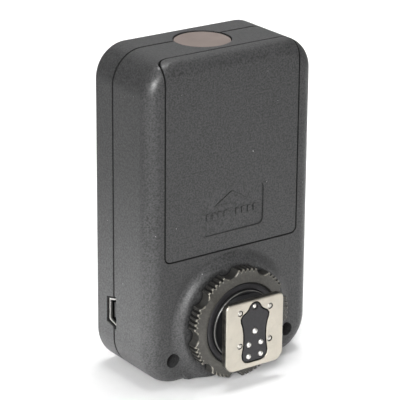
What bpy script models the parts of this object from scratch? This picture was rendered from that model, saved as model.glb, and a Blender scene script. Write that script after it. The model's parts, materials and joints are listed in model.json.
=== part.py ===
"""Wireless flash trigger for a camera's accessory shoe, modelled standing on its rear end face.

Frame: +Z runs along the case from the end it stands on to the end with the focus lamp, -Y is the
side that carries the battery door and the foot, +Y is the side that carries the flash shoe.
The origin is the centre of the bounding box at the height of the standing face.

Every dimension below is in millimetres. Shapes are built in millimetres and turned into metres by
finish(), which also puts each object's origin at the point it is built around.
"""

import math

import bmesh
import bpy
from mathutils import Matrix, Vector

for old in list(bpy.data.objects):
    bpy.data.objects.remove(old)

# ------------------------------------------------------------------ driving dimensions
CASE_W = 53.0  # width, X
CASE_L = 89.5  # length, Z
CASE_T = 25.4  # thickness without foot and shoe, Y
CORNER_TOP = 9.0  # plan corner radius at the lamp end
CORNER_LOW = 10.5  # plan corner radius at the standing end
WALL = 1.8
EDGE_R = 4.2  # rounding between the walls and the door side
BACK_R = 1.5  # rounding between the walls and the shoe side
SEAM_DEPTH = 9.3  # depth of the shoe-side case, from its flat face
SEAM_GAP = 0.65
GAP = 0.45  # line round the battery door

YB = 17.3  # flat face on the shoe side
YF = YB - CASE_T  # flat face on the door side, -8.1
YS = YB - SEAM_DEPTH  # seam face of the door-side case, 8.0
YT = YS + SEAM_GAP

FOOT_Z = 15.6  # height of the foot's axis
WHEEL_R = 15.4
WHEEL_BACK, WHEEL_RIM, WHEEL_LIP = -10.05, -13.2, -13.7
BOSS_Y, BOSS_R, BOSS_BASE_R = -9.8, 16.1, 20.0
POST_R = 9.6
PLATE_W, PLATE_FRONT, PLATE_T = 18.6, -19.0, 2.0
PLATE_Z0, PLATE_Z1 = 5.3, 24.5
PIN_TIP = -19.5
PIN_X, PIN_ROW1, PIN_ROW2, LOCK_Z = 1.97, 12.0, 8.67, 22.5
STUDS = [(-4.85, 21.6), (4.85, 21.6), (-4.85, 12.25), (4.85, 12.25)]

DOOR_X, DOOR_Z0, DOOR_END_Y, DOOR_T = 21.05, 35.7, -3.9, 1.6
LAMP_Y, LAMP_R = 6.06, 7.5

CELL_R, CELL_L, CELL_X, CELL_Y = 7.2, 50.5, 7.6, 1.25
BAY_X, BAY_Z0, BAY_Z1, BAY_FLOOR = 18.6, 31.6, 84.8, 8.6
INNER_SCREW_X, INNER_SCREW_Z = 16.6, 82.3

SHOE_TOP = 19.5  # top of the shoe's rails
SHOE_FLOOR = 16.65
RAIL_T = 0.8
SHOE_Z0, SHOE_Z1 = 6.5, 24.5

BOARD_Y0, BOARD_Y1 = 11.5, 12.7
USB_Z, USB_X = 17.55, -26.0

# ------------------------------------------------------------------ materials


def material(name, rgb, rough, metal=0.0):
    mat = bpy.data.materials.new(name)
    mat.use_nodes = True
    shader = mat.node_tree.nodes["Principled BSDF"]
    shader.inputs["Base Color"].default_value = (*rgb, 1)
    shader.inputs["Roughness"].default_value = rough
    shader.inputs["Metallic"].default_value = metal
    return mat


CASE = material("case_plastic", (0.035, 0.035, 0.037), 0.5)
WHEEL = material("wheel_plastic", (0.03, 0.03, 0.028), 0.45)
BLACK = material("black_plastic", (0.015, 0.015, 0.016), 0.4)
NICKEL = material("nickel_plate", (0.75, 0.72, 0.68), 0.3, 1.0)
STEEL = material("steel", (0.5, 0.5, 0.5), 0.35, 1.0)
DARK_STEEL = material("dark_screw", (0.05, 0.05, 0.05), 0.4, 1.0)
GOLD = material("gold_contact", (0.85, 0.65, 0.3), 0.3, 1.0)
WINDOW = material("lamp_window", (0.16, 0.09, 0.09), 0.15)
CLEAR = material("clear_plastic", (0.7, 0.7, 0.7), 0.1)
BOARD = material("circuit_board", (0.02, 0.12, 0.05), 0.5)
CHIP = material("chip", (0.02, 0.02, 0.02), 0.5)
CELL = material("cell_jacket", (0.12, 0.2, 0.35), 0.35, 0.3)
PANEL = material("gloss_panel", (0.01, 0.01, 0.011), 0.12)
RIBBON = material("ribbon_cable", (0.6, 0.35, 0.1), 0.5)

# ------------------------------------------------------------------ mesh helpers, in millimetres

made = []


def to_object(name, bm, mat=None):
    bmesh.ops.recalc_face_normals(bm, faces=bm.faces)
    mesh = bpy.data.meshes.new(name)
    bm.to_mesh(mesh)
    bm.free()
    obj = bpy.data.objects.new(name, mesh)
    bpy.context.scene.collection.objects.link(obj)
    if mat:
        mesh.materials.append(mat)
    return obj


def loft(rings, name="tool", mat=None, closed=True):
    """A closed solid through rings of the same number of points; the first and last are capped."""
    bm = bmesh.new()
    grid = [[bm.verts.new(p) for p in ring] for ring in rings]
    for a, b in zip(grid, grid[1:]):
        n = len(a)
        for i in range(n):
            bm.faces.new((a[i], a[(i + 1) % n], b[(i + 1) % n], b[i]))
    if closed:
        bm.faces.new(grid[0])
        bm.faces.new(grid[-1])
    return to_object(name, bm, mat)


def loop(rings, name="tool", mat=None):
    """A ring-shaped solid: the last ring is joined back to the first."""
    bm = bmesh.new()
    grid = [[bm.verts.new(p) for p in ring] for ring in rings]
    for a, b in zip(grid, grid[1:] + grid[:1]):
        n = len(a)
        for i in range(n):
            bm.faces.new((a[i], a[(i + 1) % n], b[(i + 1) % n], b[i]))
    return to_object(name, bm, mat)


def box(x0, x1, y0, y1, z0, z1, name="tool", mat=None):
    return loft(
        [
            [(x0, y, z0), (x1, y, z0), (x1, y, z1), (x0, y, z1)]
            for y in (y0, y1)
        ],
        name,
        mat,
    )


def prism_y(outline, y0, y1, name="tool", mat=None):
    return loft([[(x, y, z) for x, z in outline] for y in (y0, y1)], name, mat)


def prism_z(outline, z0, z1, name="tool", mat=None):
    return loft([[(x, y, z) for x, y in outline] for z in (z0, z1)], name, mat)


def prism_x(outline, x0, x1, name="tool", mat=None):
    return loft([[(x, y, z) for y, z in outline] for x in (x0, x1)], name, mat)


def turned(profile, axis, centre, n=24, name="tool", mat=None):
    """A turned solid. profile is (radius, place along the axis) from one end to the other; it starts and ends on the axis where radius is 0."""
    u, v = {"x": (1, 2), "y": (0, 2), "z": (0, 1)}[axis]
    w = "xyz".index(axis)
    bm = bmesh.new()
    rings = []
    for r, a in profile:
        if r == 0:
            p = [0.0, 0.0, 0.0]
            p[u], p[v], p[w] = centre[0], centre[1], a
            rings.append([bm.verts.new(p)])
            continue
        ring = []
        for i in range(n):
            t = 2 * math.pi * i / n
            p = [0.0, 0.0, 0.0]
            p[u], p[v], p[w] = centre[0] + r * math.cos(t), centre[1] + r * math.sin(t), a
            ring.append(bm.verts.new(p))
        rings.append(ring)
    for a, b in zip(rings, rings[1:]):
        for i in range(n):
            j = (i + 1) % n
            if len(a) == 1:
                bm.faces.new((a[0], b[i], b[j]))
            elif len(b) == 1:
                bm.faces.new((a[i], a[j], b[0]))
            else:
                bm.faces.new((a[i], a[j], b[j], b[i]))
    if len(rings[0]) > 1:
        bm.faces.new(rings[0])
    if len(rings[-1]) > 1:
        bm.faces.new(rings[-1])
    return to_object(name, bm, mat)


def cyl(axis, centre, r, a0, a1, n=24, name="tool", mat=None):
    return turned([(r, a0), (r, a1)], axis, centre, n, name, mat)


def apply(obj):
    bpy.context.view_layer.update()
    graph = bpy.context.evaluated_depsgraph_get()
    mesh = bpy.data.meshes.new_from_object(obj.evaluated_get(graph))
    obj.modifiers.clear()
    old = obj.data
    obj.data = mesh
    bpy.data.meshes.remove(old)
    return obj


def boolean(obj, tool, operation):
    modifier = obj.modifiers.new("cut", "BOOLEAN")
    modifier.operation = operation
    modifier.solver = "EXACT"
    modifier.object = tool
    apply(obj)
    bpy.data.objects.remove(tool)
    return obj


def cut(obj, *tools):
    for tool in tools:
        boolean(obj, tool, "DIFFERENCE")
    return obj


def join(obj, *tools):
    for tool in tools:
        boolean(obj, tool, "UNION")
    return obj


def meet(obj, *tools):
    for tool in tools:
        boolean(obj, tool, "INTERSECT")
    return obj


def finish(obj, name, mat, origin=(0, 0, 0), smooth=35):
    """Millimetres to metres, with the object's origin at its own centre line."""
    o = Vector(origin)
    obj.name = name
    obj.data.name = name
    obj.data.transform(Matrix.Scale(0.001, 4) @ Matrix.Translation(-o))
    obj.location = o * 0.001
    obj.data.materials.clear()
    obj.data.materials.append(mat)
    for polygon in obj.data.polygons:
        polygon.material_index = 0
    obj.data.shade_smooth()
    obj.data.set_sharp_from_angle(angle=math.radians(smooth))
    made.append(obj)
    return obj


# ------------------------------------------------------------------ outlines


def case_outline(d, n=6):
    """The case's plan outline in X and Z, moved inwards by d: (x, z) points."""
    half, pts = CASE_W / 2, []
    for cx, cz, r, start in (
        (half - CORNER_LOW, CORNER_LOW, CORNER_LOW, -90),
        (half - CORNER_TOP, CASE_L - CORNER_TOP, CORNER_TOP, 0),
        (-half + CORNER_TOP, CASE_L - CORNER_TOP, CORNER_TOP, 90),
        (-half + CORNER_LOW, CORNER_LOW, CORNER_LOW, 180),
    ):
        for i in range(n + 1):
            t = math.radians(start + 90 * i / n)
            pts.append((cx + (r - d) * math.cos(t), cz + (r - d) * math.sin(t)))
    return pts


def ring_at(d, y, n=6):
    return [(x, y, z) for x, z in case_outline(d, n)]


def door_side_form(d, y_open, n=6, steps=5):
    """The door-side half of the case as a solid, its skin moved inwards by d."""
    rings = [ring_at(d, y_open, n), ring_at(d, YF + EDGE_R, n)]
    r = EDGE_R - d
    for i in range(1, steps + 1):
        t = math.radians(90 * i / steps)
        rings.append(ring_at(d + r * (1 - math.cos(t)), YF + EDGE_R - r * math.sin(t), n))
    return loft(rings)


def rounded(x0, x1, z0, z1, r, n=4):
    """A rectangle with round corners; r is one radius, or four from the low-x low-z corner, turning towards +x."""
    rr = r if isinstance(r, (list, tuple)) else [r] * 4
    pts = []
    for cx, cz, sx, sz, start, rad in (
        (x0, z0, 1, 1, 180, rr[0]),
        (x1, z0, -1, 1, 270, rr[1]),
        (x1, z1, -1, -1, 0, rr[2]),
        (x0, z1, 1, -1, 90, rr[3]),
    ):
        if rad == 0:
            pts.append((cx, cz))
            continue
        for i in range(n + 1):
            t = math.radians(start + 90 * i / n)
            pts.append((cx + sx * rad + rad * math.cos(t), cz + sz * rad + rad * math.sin(t)))
    return pts


def door_prism(grow, n=4):
    """What the door's outline takes in: straight sides, round lower corners and round corners on the lamp end."""
    x, z0, y1 = DOOR_X + grow, DOOR_Z0 - grow, DOOR_END_Y + grow
    plan = prism_y(rounded(-x, x, z0, 96, [1.5 + grow, 1.5 + grow, 0, 0], n), -14, y1)
    side = prism_z(rounded(-x, x, -16, y1, [0, 0, 2.4, 2.4], n), 20, 98)
    return meet(plan, side)


# ------------------------------------------------------------------ door-side case


def foot_boss(n=32):
    """The raised round seat under the locking wheel, trimmed to the case's outline."""
    profile = [
        (0, YF + 0.9),
        (BOSS_BASE_R + 0.6, YF + 0.9),
        (BOSS_BASE_R, YF + 0.02),
        (18.7, YF - 0.18),
        (17.6, YF - 0.62),
        (16.9, YF - 1.1),
        (BOSS_R + 0.35, BOSS_Y + 0.15),
        (BOSS_R, BOSS_Y),
        (0, BOSS_Y),
    ]
    boss = turned(profile, "y", (0, FOOT_Z), n)
    return meet(boss, prism_y(case_outline(0.9, 6), -14, 0))


def cross_recess(axis, centre, a0, a1, size=0.95, width=0.38):
    c0, c1 = centre
    if axis == "y":
        return [
            box(c0 - size, c0 + size, a0, a1, c1 - width / 2, c1 + width / 2),
            box(c0 - width / 2, c0 + width / 2, a0, a1, c1 - size, c1 + size),
        ]
    raise ValueError(axis)


case = door_side_form(0, YS)
cut(case, door_side_form(WALL, YS + 2, steps=3))
join(case, foot_boss())
bay = box(-BAY_X - 1.2, BAY_X + 1.2, YF + 0.9, BAY_FLOOR + 1.2, BAY_Z0 - 1.2, BAY_Z1 + 0.9)
join(case, bay)
for sx in (-1, 1):
    join(case, cyl("y", (sx * 18.7, 7.6), 3.6, YF + 0.9, YS - 0.2, 20))
opening = door_prism(GAP)
cut(opening, door_side_form(DOOR_T + GAP, 30, steps=3))
cut(case, opening)
cut(case, box(-BAY_X, BAY_X, YF + 1.85, BAY_FLOOR, BAY_Z0, BAY_Z1))
for sx in (-1, 1):
    # notches that the door's tongues pass through as it draws off
    cut(case, box(sx * 15.1, sx * 18.8, -7.3, -4.9, 80, 92))
cut(case, cyl("y", (0, FOOT_Z), POST_R + 0.3, -14, -5, 32))
for sx in (-1, 1):
    cut(case, cyl("y", (sx * 18.72, 7.6), 1.95, -14, 2.0, 20))
    cut(case, cyl("y", (sx * 18.72, 7.6), 1.25, 0, 12, 12))
    cut(case, cyl("y", (sx * INNER_SCREW_X, INNER_SCREW_Z), 1.25, 7, 12, 12))
cut(case, cyl("z", (0, LAMP_Y), LAMP_R + 0.3, 86.9, 92, 32))
cut(case, box(-30, -23, YS - 0.75, YS + 3, USB_Z - 4.7, USB_Z + 4.7))
cut(case, box(-23.5, -17, YS - 0.75, YS + 3, USB_Z - 4.5, USB_Z + 4.5))
finish(case, "door_side_case", CASE)

# ------------------------------------------------------------------ battery door

door = door_side_form(0, YS)
cut(door, door_side_form(DOOR_T, YS + 3, steps=3))
meet(door, door_prism(0))
for sx in (-1, 1):
    # tongues that tuck under the case's lip below the door
    tongue = loft(
        [
            [(x, -6.9, 35.9), (x, -6.9, 39.0), (x, -5.2, 39.0), (x, -5.2, 32.8), (x, -6.1, 32.8), (x, -6.1, 35.9)]
            for x in ((sx * 15.4), (sx * 18.5))
        ]
    )
    join(door, tongue)


def mark_floor(x, z):
    """The marks' field is cut deepest at its lower +X corner and fades out towards the opposite one."""
    return YF + 0.03 + 0.4 * ((x + 10.2) / 20.4 * 0.55 + (52.3 - z) / 11.9 * 0.45)


frame_outline = rounded(-10.2, 10.2, 40.4, 52.3, 1.6)
cut(door, loft([[(x, -12, z) for x, z in frame_outline], [(x, mark_floor(x, z), z) for x, z in frame_outline]]))
MOAT_Y = YF + 0.24
# the direction arrow and the ribs stand in sunk fields
cut(door, prism_y([(-5.7, 48.3), (5.7, 48.3), (0, 51.9)], -12, MOAT_Y))
arrow = [(-5.0, 48.6), (0, 51.6), (5.0, 48.6), (3.9, 48.6), (0, 50.9), (-3.9, 48.6)]
join(door, prism_y(arrow, YF + 0.02, YF + 0.8))
head = [(-2.9, 48.6), (2.9, 48.6), (0, 50.35)]
join(door, prism_y(head, YF + 0.2, YF + 0.8))
for x0, x1 in ((-8.5, -1.6), (1.2, 8.1)):
    cut(door, box(x0, x1, -12, MOAT_Y, 44.4, 46.8))
for i in range(9):
    x = -7.7 + i * 1.9
    if i != 4:
        join(door, box(x - 0.5, x + 0.5, YF + 0.03, YF + 0.8, 44.7, 46.5))
finish(door, "battery_door", CASE, (0, -7.3, 62))

# ------------------------------------------------------------------ shoe-side case


def shoe_side_form(d, y_open, edge, y_flat, n=6, steps=3):
    rings = [ring_at(d, y_open, n), ring_at(d, y_flat - edge, n)]
    for i in range(1, steps + 1):
        t = math.radians(90 * i / steps)
        rings.append(ring_at(d + edge * (1 - math.cos(t)), y_flat - edge + edge * math.sin(t), n))
    return loft(rings)


top = shoe_side_form(0, YT, BACK_R, YB)
cut(top, shoe_side_form(WALL, YT - 2, 0.5, YB - WALL, steps=2))
lip = loop([ring_at(d, y) for d, y in ((WALL - 0.4, YT + 0.7), (WALL - 0.4, YT + 1.9), (WALL + 1.15, YT + 1.9), (WALL + 1.15, YS - 1.8), (WALL + 0.15, YS - 1.8), (WALL + 0.15, YT + 0.7))])
cut(lip, box(-9.4, 9.4, 0, 20, 80, 92), box(-30, -20, 0, 20, USB_Z - 4.8, USB_Z + 4.8), box(20, 30, 0, 20, 12.5, 22.5), box(20, 30, 0, 20, 40, 51))
for sx in (-1, 1):
    cut(lip, cyl("y", (sx * 18.7, 7.6), 3.95, 0, 20, 20))
join(top, lip)
join(top, box(-13, 13, YB - 3.7, YB - 1.2, 0.8, 28.2))
for x, z, r, y0 in ((18.7, 7.6, 3.3, 8.3), (INNER_SCREW_X, INNER_SCREW_Z, 3.0, 10.1)):
    for sx in (-1, 1):
        join(top, cyl("y", (sx * x, z), r, y0, YB - 1.2, 20))
        cut(top, cyl("y", (sx * x, z), 1.15, y0 - 1, YB - 2.7, 12))
join(top, prism_x([(15.5, 24.95), (18.1, 24.95), (18.6, 25.4), (18.6, 26.2), (18.1, 26.9), (15.5, 26.9)], -10.9, 10.9))
# seat of the shoe, its way in from the end, and the hole for its contact block
cut(top, box(-10.45, 10.45, SHOE_FLOOR - RAIL_T - 0.1, 22, SHOE_Z0 - 0.2, SHOE_Z1 + 0.25))
cut(top, box(-10.45, 10.45, SHOE_FLOOR - 0.1, 22, -2, SHOE_Z0 + 1))
cut(top, box(-5.7, 5.7, 12, 17, 6.95, 24.05))
for x in (-7.4, 7.4):
    for z in (9.6, 21.4):
        cut(top, cyl("y", (x, z), 0.75, 12, 17, 10))
# recess of the gloss panel, light guides, buttons
cut(top, prism_y(rounded(-19.6, 19.6, 39.4, 80.1, 3.1), YB - 0.5, 22))
for x in (-13, 13):
    for z in (44.5, 49.5, 54.5):
        cut(top, cyl("y", (x, z), 1.15, 14, 20, 12))
    cut(top, prism_y(rounded(x - 4.4, x + 4.4, 31.1, 35.9, 2.35), 14, 20))
cut(top, cyl("y", (0, 33.5), 1.5, 14, 20, 14))
# lamp, USB, sync socket and power switch
cut(top, cyl("z", (0, LAMP_Y), LAMP_R + 0.3, 86.0, 92, 32))
USB_CLEAR = [(YS - 1.0, USB_Z - 4.7), (11.85, USB_Z - 3.62), (11.85, USB_Z + 3.62), (YS - 1.0, USB_Z + 4.7)]
cut(top, prism_x(USB_CLEAR, -30, -20))
cut(top, cyl("x", (12.6, USB_Z), 3.6, 21, 30, 24))
cut(top, prism_x(rounded(10.6, 15.0, 41.1, 49.5, 0.8), 25.3, 30))
cut(top, box(22, 27, 12.0, 13.6, 42.6, 48.0))
finish(top, "shoe_side_case", CASE)

# ------------------------------------------------------------------ focus lamp

lamp = turned(
    [(0, 86.3), (8.4, 86.3), (8.4, 87.35), (LAMP_R, 87.35), (LAMP_R, 89.1), (LAMP_R - 0.3, 89.3), (0, 89.42)],
    "z", (0, LAMP_Y), 32,
)
cut(lamp, box(-10, 10, -4, LAMP_Y - 7.9, 80, 87.4), box(-10, 10, LAMP_Y + 7.9, 20, 80, 87.4))
finish(lamp, "lamp_window", WINDOW, (0, LAMP_Y, 88))
led = turned([(0, 79.2), (2.4, 79.2), (2.4, 83.2), (2.1, 84.2), (1.3, 84.9), (0, 85.2)], "z", (0, 12.9), 16)
finish(led, "focus_lamp_led", WINDOW, (0, 12.9, 80))

# ------------------------------------------------------------------ screws of the case


def screw(name, x, z, head_y0, head_h, head_r, shank_r, y_end, mat, n=12):
    """A pan-head screw along +Y whose head faces -Y."""
    s = turned(
        [(0, head_y0), (head_r * 0.75, head_y0), (head_r, head_y0 + head_h * 0.45), (head_r, head_y0 + head_h), (shank_r, head_y0 + head_h), (shank_r, y_end - 0.6), (shank_r * 0.4, y_end), (0, y_end)],
        "y", (x, z), n,
    )
    cut(s, *cross_recess("y", (x, z), head_y0 - 1, head_y0 + head_h * 0.6, head_r * 0.55, head_r * 0.2))
    return finish(s, name, mat, (x, head_y0, z))


screw("case_screw_1", -18.72, 7.6, 0.5, 1.4, 1.7, 1.0, 13.6, DARK_STEEL)
screw("case_screw_2", 18.72, 7.6, 0.5, 1.4, 1.7, 1.0, 13.6, DARK_STEEL)
screw("case_screw_3", -INNER_SCREW_X, INNER_SCREW_Z, 7.1, 1.4, 1.7, 1.0, 14.2, DARK_STEEL)
screw("case_screw_4", INNER_SCREW_X, INNER_SCREW_Z, 7.1, 1.4, 1.7, 1.0, 14.2, DARK_STEEL)

# ------------------------------------------------------------------ batteries and their contacts


def cell(name, x, z0, up):
    e0, e1 = (z0, z0 + CELL_L) if up else (z0 + CELL_L, z0)
    s = 1 if up else -1
    body = turned(
        [(0, e0), (4.6, e0), (6.9, e0 + 0.1 * s), (CELL_R, e0 + 0.4 * s), (CELL_R, e1 - 1.7 * s), (6.8, e1 - 1.25 * s), (2.75, e1 - 1.15 * s), (2.7, e1 - 0.15 * s), (2.4, e1), (0, e1)],
        "z", (x, CELL_Y), 20,
    )
    return finish(body, name, CELL, (x, CELL_Y, z0 + CELL_L / 2))


cell("battery_1", -CELL_X, 33.6, True)
cell("battery_2", CELL_X, 32.3, False)


def coil(name, x, z0, z1, r0, r1, turns=2.4, wire=0.28, per_turn=10, sides=5):
    """A conical contact spring: the wire is swept along a coil that narrows towards the cell."""
    count = int(turns * per_turn)
    rings = []
    for i in range(count + 1):
        f = i / count
        t = 2 * math.pi * turns * f
        r = r0 + (r1 - r0) * f
        z = z0 + (z1 - z0) * f
        out = Vector((math.cos(t), math.sin(t), 0))
        centre = Vector((x, CELL_Y, z)) + out * r
        rings.append([centre + (out * math.cos(a) + Vector((0, 0, 1)) * math.sin(a)) * wire for a in [2 * math.pi * k / sides for k in range(sides)]])
    return finish(loft(rings), name, STEEL, (x, CELL_Y, z0))


coil("battery_spring_1", -CELL_X, 31.95, 33.2, 5.2, 2.6)
coil("battery_spring_2", CELL_X, 84.45, 83.2, 5.2, 2.6)
for name, x, z0 in (("battery_contact_1", -CELL_X, 84.2), ("battery_contact_2", CELL_X, 31.75)):
    plate = prism_z(rounded(x - 5.5, x + 5.5, CELL_Y - 5.5, CELL_Y + 5.5, 1.5, 3), z0, z0 + 0.4)
    finish(plate, name, STEEL, (x, CELL_Y, z0))

# ------------------------------------------------------------------ circuit boards and what is on them

board = box(-21, 21, BOARD_Y0, BOARD_Y1, 12.2, 78.5)
finish(board, "main_board", BOARD, (0, 12.1, 45))
finish(box(-9, 9, 12.75, 14.6, 60, 74), "radio_module", STEEL, (0, 13.6, 67))
finish(box(-4.5, 4.5, 12.75, 13.9, 44.5, 53.5), "processor_chip", CHIP, (0, 13.3, 49))
foot_board = box(-8, 8, -2.6, -1.5, 5.6, 26.0)
finish(foot_board, "foot_board", BOARD, (0, -2, 15.6))
ribbon = loft(
    [
        [(x, -1.35, 22.0), (x, -1.35, 28.6), (x, 11.35, 28.6), (x, 11.35, 27.2), (x, 11.15, 27.2), (x, 11.15, 28.4), (x, -1.15, 28.4), (x, -1.15, 22.0)]
        for x in (-4.0, 4.0)
    ]
)
finish(ribbon, "foot_ribbon", RIBBON, (0, -1.2, 28.5))

# ------------------------------------------------------------------ mini USB socket

USB_OUT = [(YS - 0.4, USB_Z - 4.05), (11.3, USB_Z - 3.12), (11.3, USB_Z + 3.12), (YS - 0.4, USB_Z + 4.05)]
USB_IN = [(YS + 0.05, USB_Z - 3.5), (10.85, USB_Z - 2.66), (10.85, USB_Z + 2.66), (YS + 0.05, USB_Z + 3.5)]
usb = prism_x(USB_OUT, USB_X, -17.6)
cut(usb, prism_x(USB_IN, USB_X - 2, -18.1))
finish(usb, "usb_socket_shell", NICKEL, (USB_X, 9.5, USB_Z))
tongue = box(-25.2, -18.4, 9.2, 10.0, USB_Z - 2.1, USB_Z + 2.1)
join(tongue, box(-20.4, -18.4, 8.4, 10.6, USB_Z - 2.4, USB_Z + 2.4))
finish(tongue, "usb_socket_tongue", BLACK, (-25, 9.7, USB_Z))

# ------------------------------------------------------------------ flash sync socket

ring = turned([(0, 22.0), (3.3, 22.0), (3.3, 25.9), (3.45, 26.1), (3.45, 26.45), (2.55, 26.45), (2.55, 23.0), (0, 23.0)], "x", (12.6, USB_Z), 24)
finish(ring, "sync_socket_ring", NICKEL, (26, 12.6, USB_Z))
core = turned([(0, 23.1), (1.75, 23.1), (1.75, 26.0), (0.6, 26.0), (0.6, 24.0), (0, 24.0)], "x", (12.6, USB_Z), 16)
finish(core, "sync_socket_core", GOLD, (26, 12.6, USB_Z))

# ------------------------------------------------------------------ power switch

body = box(21.6, 24.4, 10.9, 14.7, 41.0, 50.6)
cut(body, box(22.6, 25, 12.0, 13.6, 42.4, 48.4))
finish(body, "power_switch_body", STEEL, (23, 12.8, 45.8))
knob = prism_x(rounded(11.0, 14.6, 41.6, 46.0, 0.5, 2), 25.45, 26.05)
join(knob, box(23.0, 25.6, 12.15, 13.45, 42.9, 44.7))
for i in range(4):
    z = 42.2 + i * 0.95
    join(knob, box(25.9, 26.45, 11.25, 14.35, z, z + 0.45))
finish(knob, "power_switch_knob", BLACK, (26, 12.8, 43.8))

# ------------------------------------------------------------------ buttons, their switches and the lights

for name, x in (("channel", -13.0), ("group", 13.0)):
    tact = box(x - 3, x + 3, 12.75, 13.9, 30.5, 36.5)
    join(tact, cyl("y", (x, 33.5), 1.5, 13.5, 13.97, 14))
    finish(tact, name + "_switch", STEEL, (x, 13.3, 33.5))
    cap = prism_y(rounded(x - 4.15, x + 4.15, 31.35, 35.65, 2.1), 15.2, 17.75)
    crown = prism_y(rounded(x - 3.75, x + 3.75, 31.75, 35.25, 1.7), 17.5, 18.0)
    flange = prism_y(rounded(x - 4.9, x + 4.9, 30.6, 36.4, 2.4), 14.5, 15.35)
    join(cap, crown, flange)
    finish(cap, name + "_button", BLACK, (x, 15.5, 33.5))
    guide = box(x - 1.0, x + 1.0, 13.4, 14.4, 43.3, 55.7)
    for z in (44.5, 49.5, 54.5):
        join(guide, cyl("y", (x, z), 0.95, 14.0, 17.25, 12))
    finish(guide, name + "_light_guide", CLEAR, (x, 15, 49.5))
status = turned([(0, 12.75), (1.3, 12.75), (1.3, 16.9), (1.0, 17.25), (0, 17.35)], "y", (0, 33.5), 14)
finish(status, "status_light", CLEAR, (0, 15, 33.5))
panel = prism_y(rounded(-19.4, 19.4, 39.6, 79.9, 2.9), YB - 0.45, YB - 0.03)
for x in (-13, 13):
    for z in (44.5, 49.5, 54.5):
        cut(panel, cyl("y", (x, z), 1.15, 14, 20, 12))
finish(panel, "front_panel", PANEL, (0, YB, 60))

# ------------------------------------------------------------------ flash shoe

w = 10.2
profile = [(-w, SHOE_FLOOR - RAIL_T), (w, SHOE_FLOOR - RAIL_T), (w, SHOE_TOP), (6.3, SHOE_TOP), (6.3, SHOE_TOP - RAIL_T), (9.4, SHOE_TOP - RAIL_T), (9.4, SHOE_FLOOR), (-9.4, SHOE_FLOOR), (-9.4, SHOE_TOP - RAIL_T), (-6.3, SHOE_TOP - RAIL_T), (-6.3, SHOE_TOP), (-w, SHOE_TOP)]
clip = prism_z(profile, SHOE_Z0, SHOE_Z1)
cut(clip, prism_y(rounded(-4.6, 4.6, 7.15, 23.45, 1.0, 2), 14, 17.5))
for x in (-7.4, 7.4):
    for z in (9.6, 21.4):
        cut(clip, cyl("y", (x, z), 0.75, 14, 17.5, 12), cyl("y", (x, z), 1.35, 16.15, 17.5, 16))
finish(clip, "shoe_clip", NICKEL, (0, 17, 15.6))
block = prism_y(rounded(-4.45, 4.45, 7.3, 23.3, 0.9, 2), 14.0, SHOE_FLOOR - 0.05)
join(block, box(-5.6, 5.6, 13.8, 15.75, 7.05, 23.95))
spots = [(0, FOOT_Z, 1.5), (-PIN_X, PIN_ROW1, 0.85), (PIN_X, PIN_ROW1, 0.85), (-PIN_X, PIN_ROW2, 0.85), (PIN_X, PIN_ROW2, 0.85)]
for x, z, r in spots:
    cut(block, cyl("y", (x, z), r + 0.12, 16.2, 18, 10), cyl("y", (x, z), 0.52, 12, 18, 8))
cut(block, cyl("y", (0, LOCK_Z - 0.1), 0.8, 14.5, 18, 12))
finish(block, "shoe_contact_block", BLACK, (0, 15, 15.6))
for i, (x, z, r) in enumerate(spots):
    contact = turned([(0, 12.8), (0.4, 12.8), (0.4, 16.3), (r, 16.3), (r, 16.65), (r - 0.15, 16.75), (0, 16.75)], "y", (x, z), 10)
    finish(contact, "shoe_contact_centre" if i == 0 else f"shoe_contact_{i}", GOLD, (x, 16.5, z))
for i, (x, z) in enumerate(((-7.4, 9.6), (7.4, 9.6), (-7.4, 21.4), (7.4, 21.4))):
    s = turned([(0, 14.0), (0.6, 14.0), (0.6, 16.2), (1.2, 16.2), (1.2, 16.4), (0.9, 16.6), (0, 16.6)], "y", (x, z), 10)
    finish(s, f"shoe_screw_{i + 1}", STEEL, (x, 16.4, z))

# ------------------------------------------------------------------ foot

post = turned(
    [(0, -4.6), (12.5, -4.6), (12.5, -6.15), (POST_R, -6.15), (POST_R, -13.9), (POST_R - 0.2, -14.1), (POST_R - 0.65, -14.1), (POST_R - 0.65, -12.4), (0, -12.4)],
    "y", (0, FOOT_Z), 32,
)
join(post, prism_y(rounded(-6.1, 6.1, FOOT_Z - 8.5, FOOT_Z + 8.5, 3.6, 3), -16.7, -12.0))
cut(post, box(-3.4, 3.4, -20, 0, FOOT_Z - 8.1, FOOT_Z + 8.1))
cut(post, box(-20, 20, -6.5, -4, 0, 4.4))
for x, z in STUDS:
    cut(post, cyl("y", (x, z), 0.9, -20, 0, 12))
finish(post, "foot_post", BLACK, (0, -10, FOOT_Z))

half = PLATE_W / 2
plate_outline = [(-half, PLATE_Z0 + 2.1), (-half + 0.35, PLATE_Z0 + 1.35), (-half + 1.4, PLATE_Z0 + 0.3), (-half + 2.2, PLATE_Z0), (half - 2.2, PLATE_Z0), (half - 1.4, PLATE_Z0 + 0.3), (half - 0.35, PLATE_Z0 + 1.35), (half, PLATE_Z0 + 2.1)]
for cx, start in ((half - 1.3, 0), (-half + 1.3, 90)):
    for i in range(5):
        t = math.radians(start + 22.5 * i)
        plate_outline.append((cx + 1.3 * math.cos(t), PLATE_Z1 - 1.3 + 1.3 * math.sin(t)))
INSERT_HALF = [(0.0, 23.7), (0.8, 23.5), (1.45, 22.9), (2.0, 21.9), (2.75, 21.2), (3.9, 20.6), (4.4, 19.8), (4.3, 18.9), (3.75, 17.3), (3.45, 15.2), (3.45, 12.6), (3.7, 10.8), (3.95, 9.3), (3.75, 8.2), (3.1, 7.45), (2.1, 7.15), (0.0, 7.15)]


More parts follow.
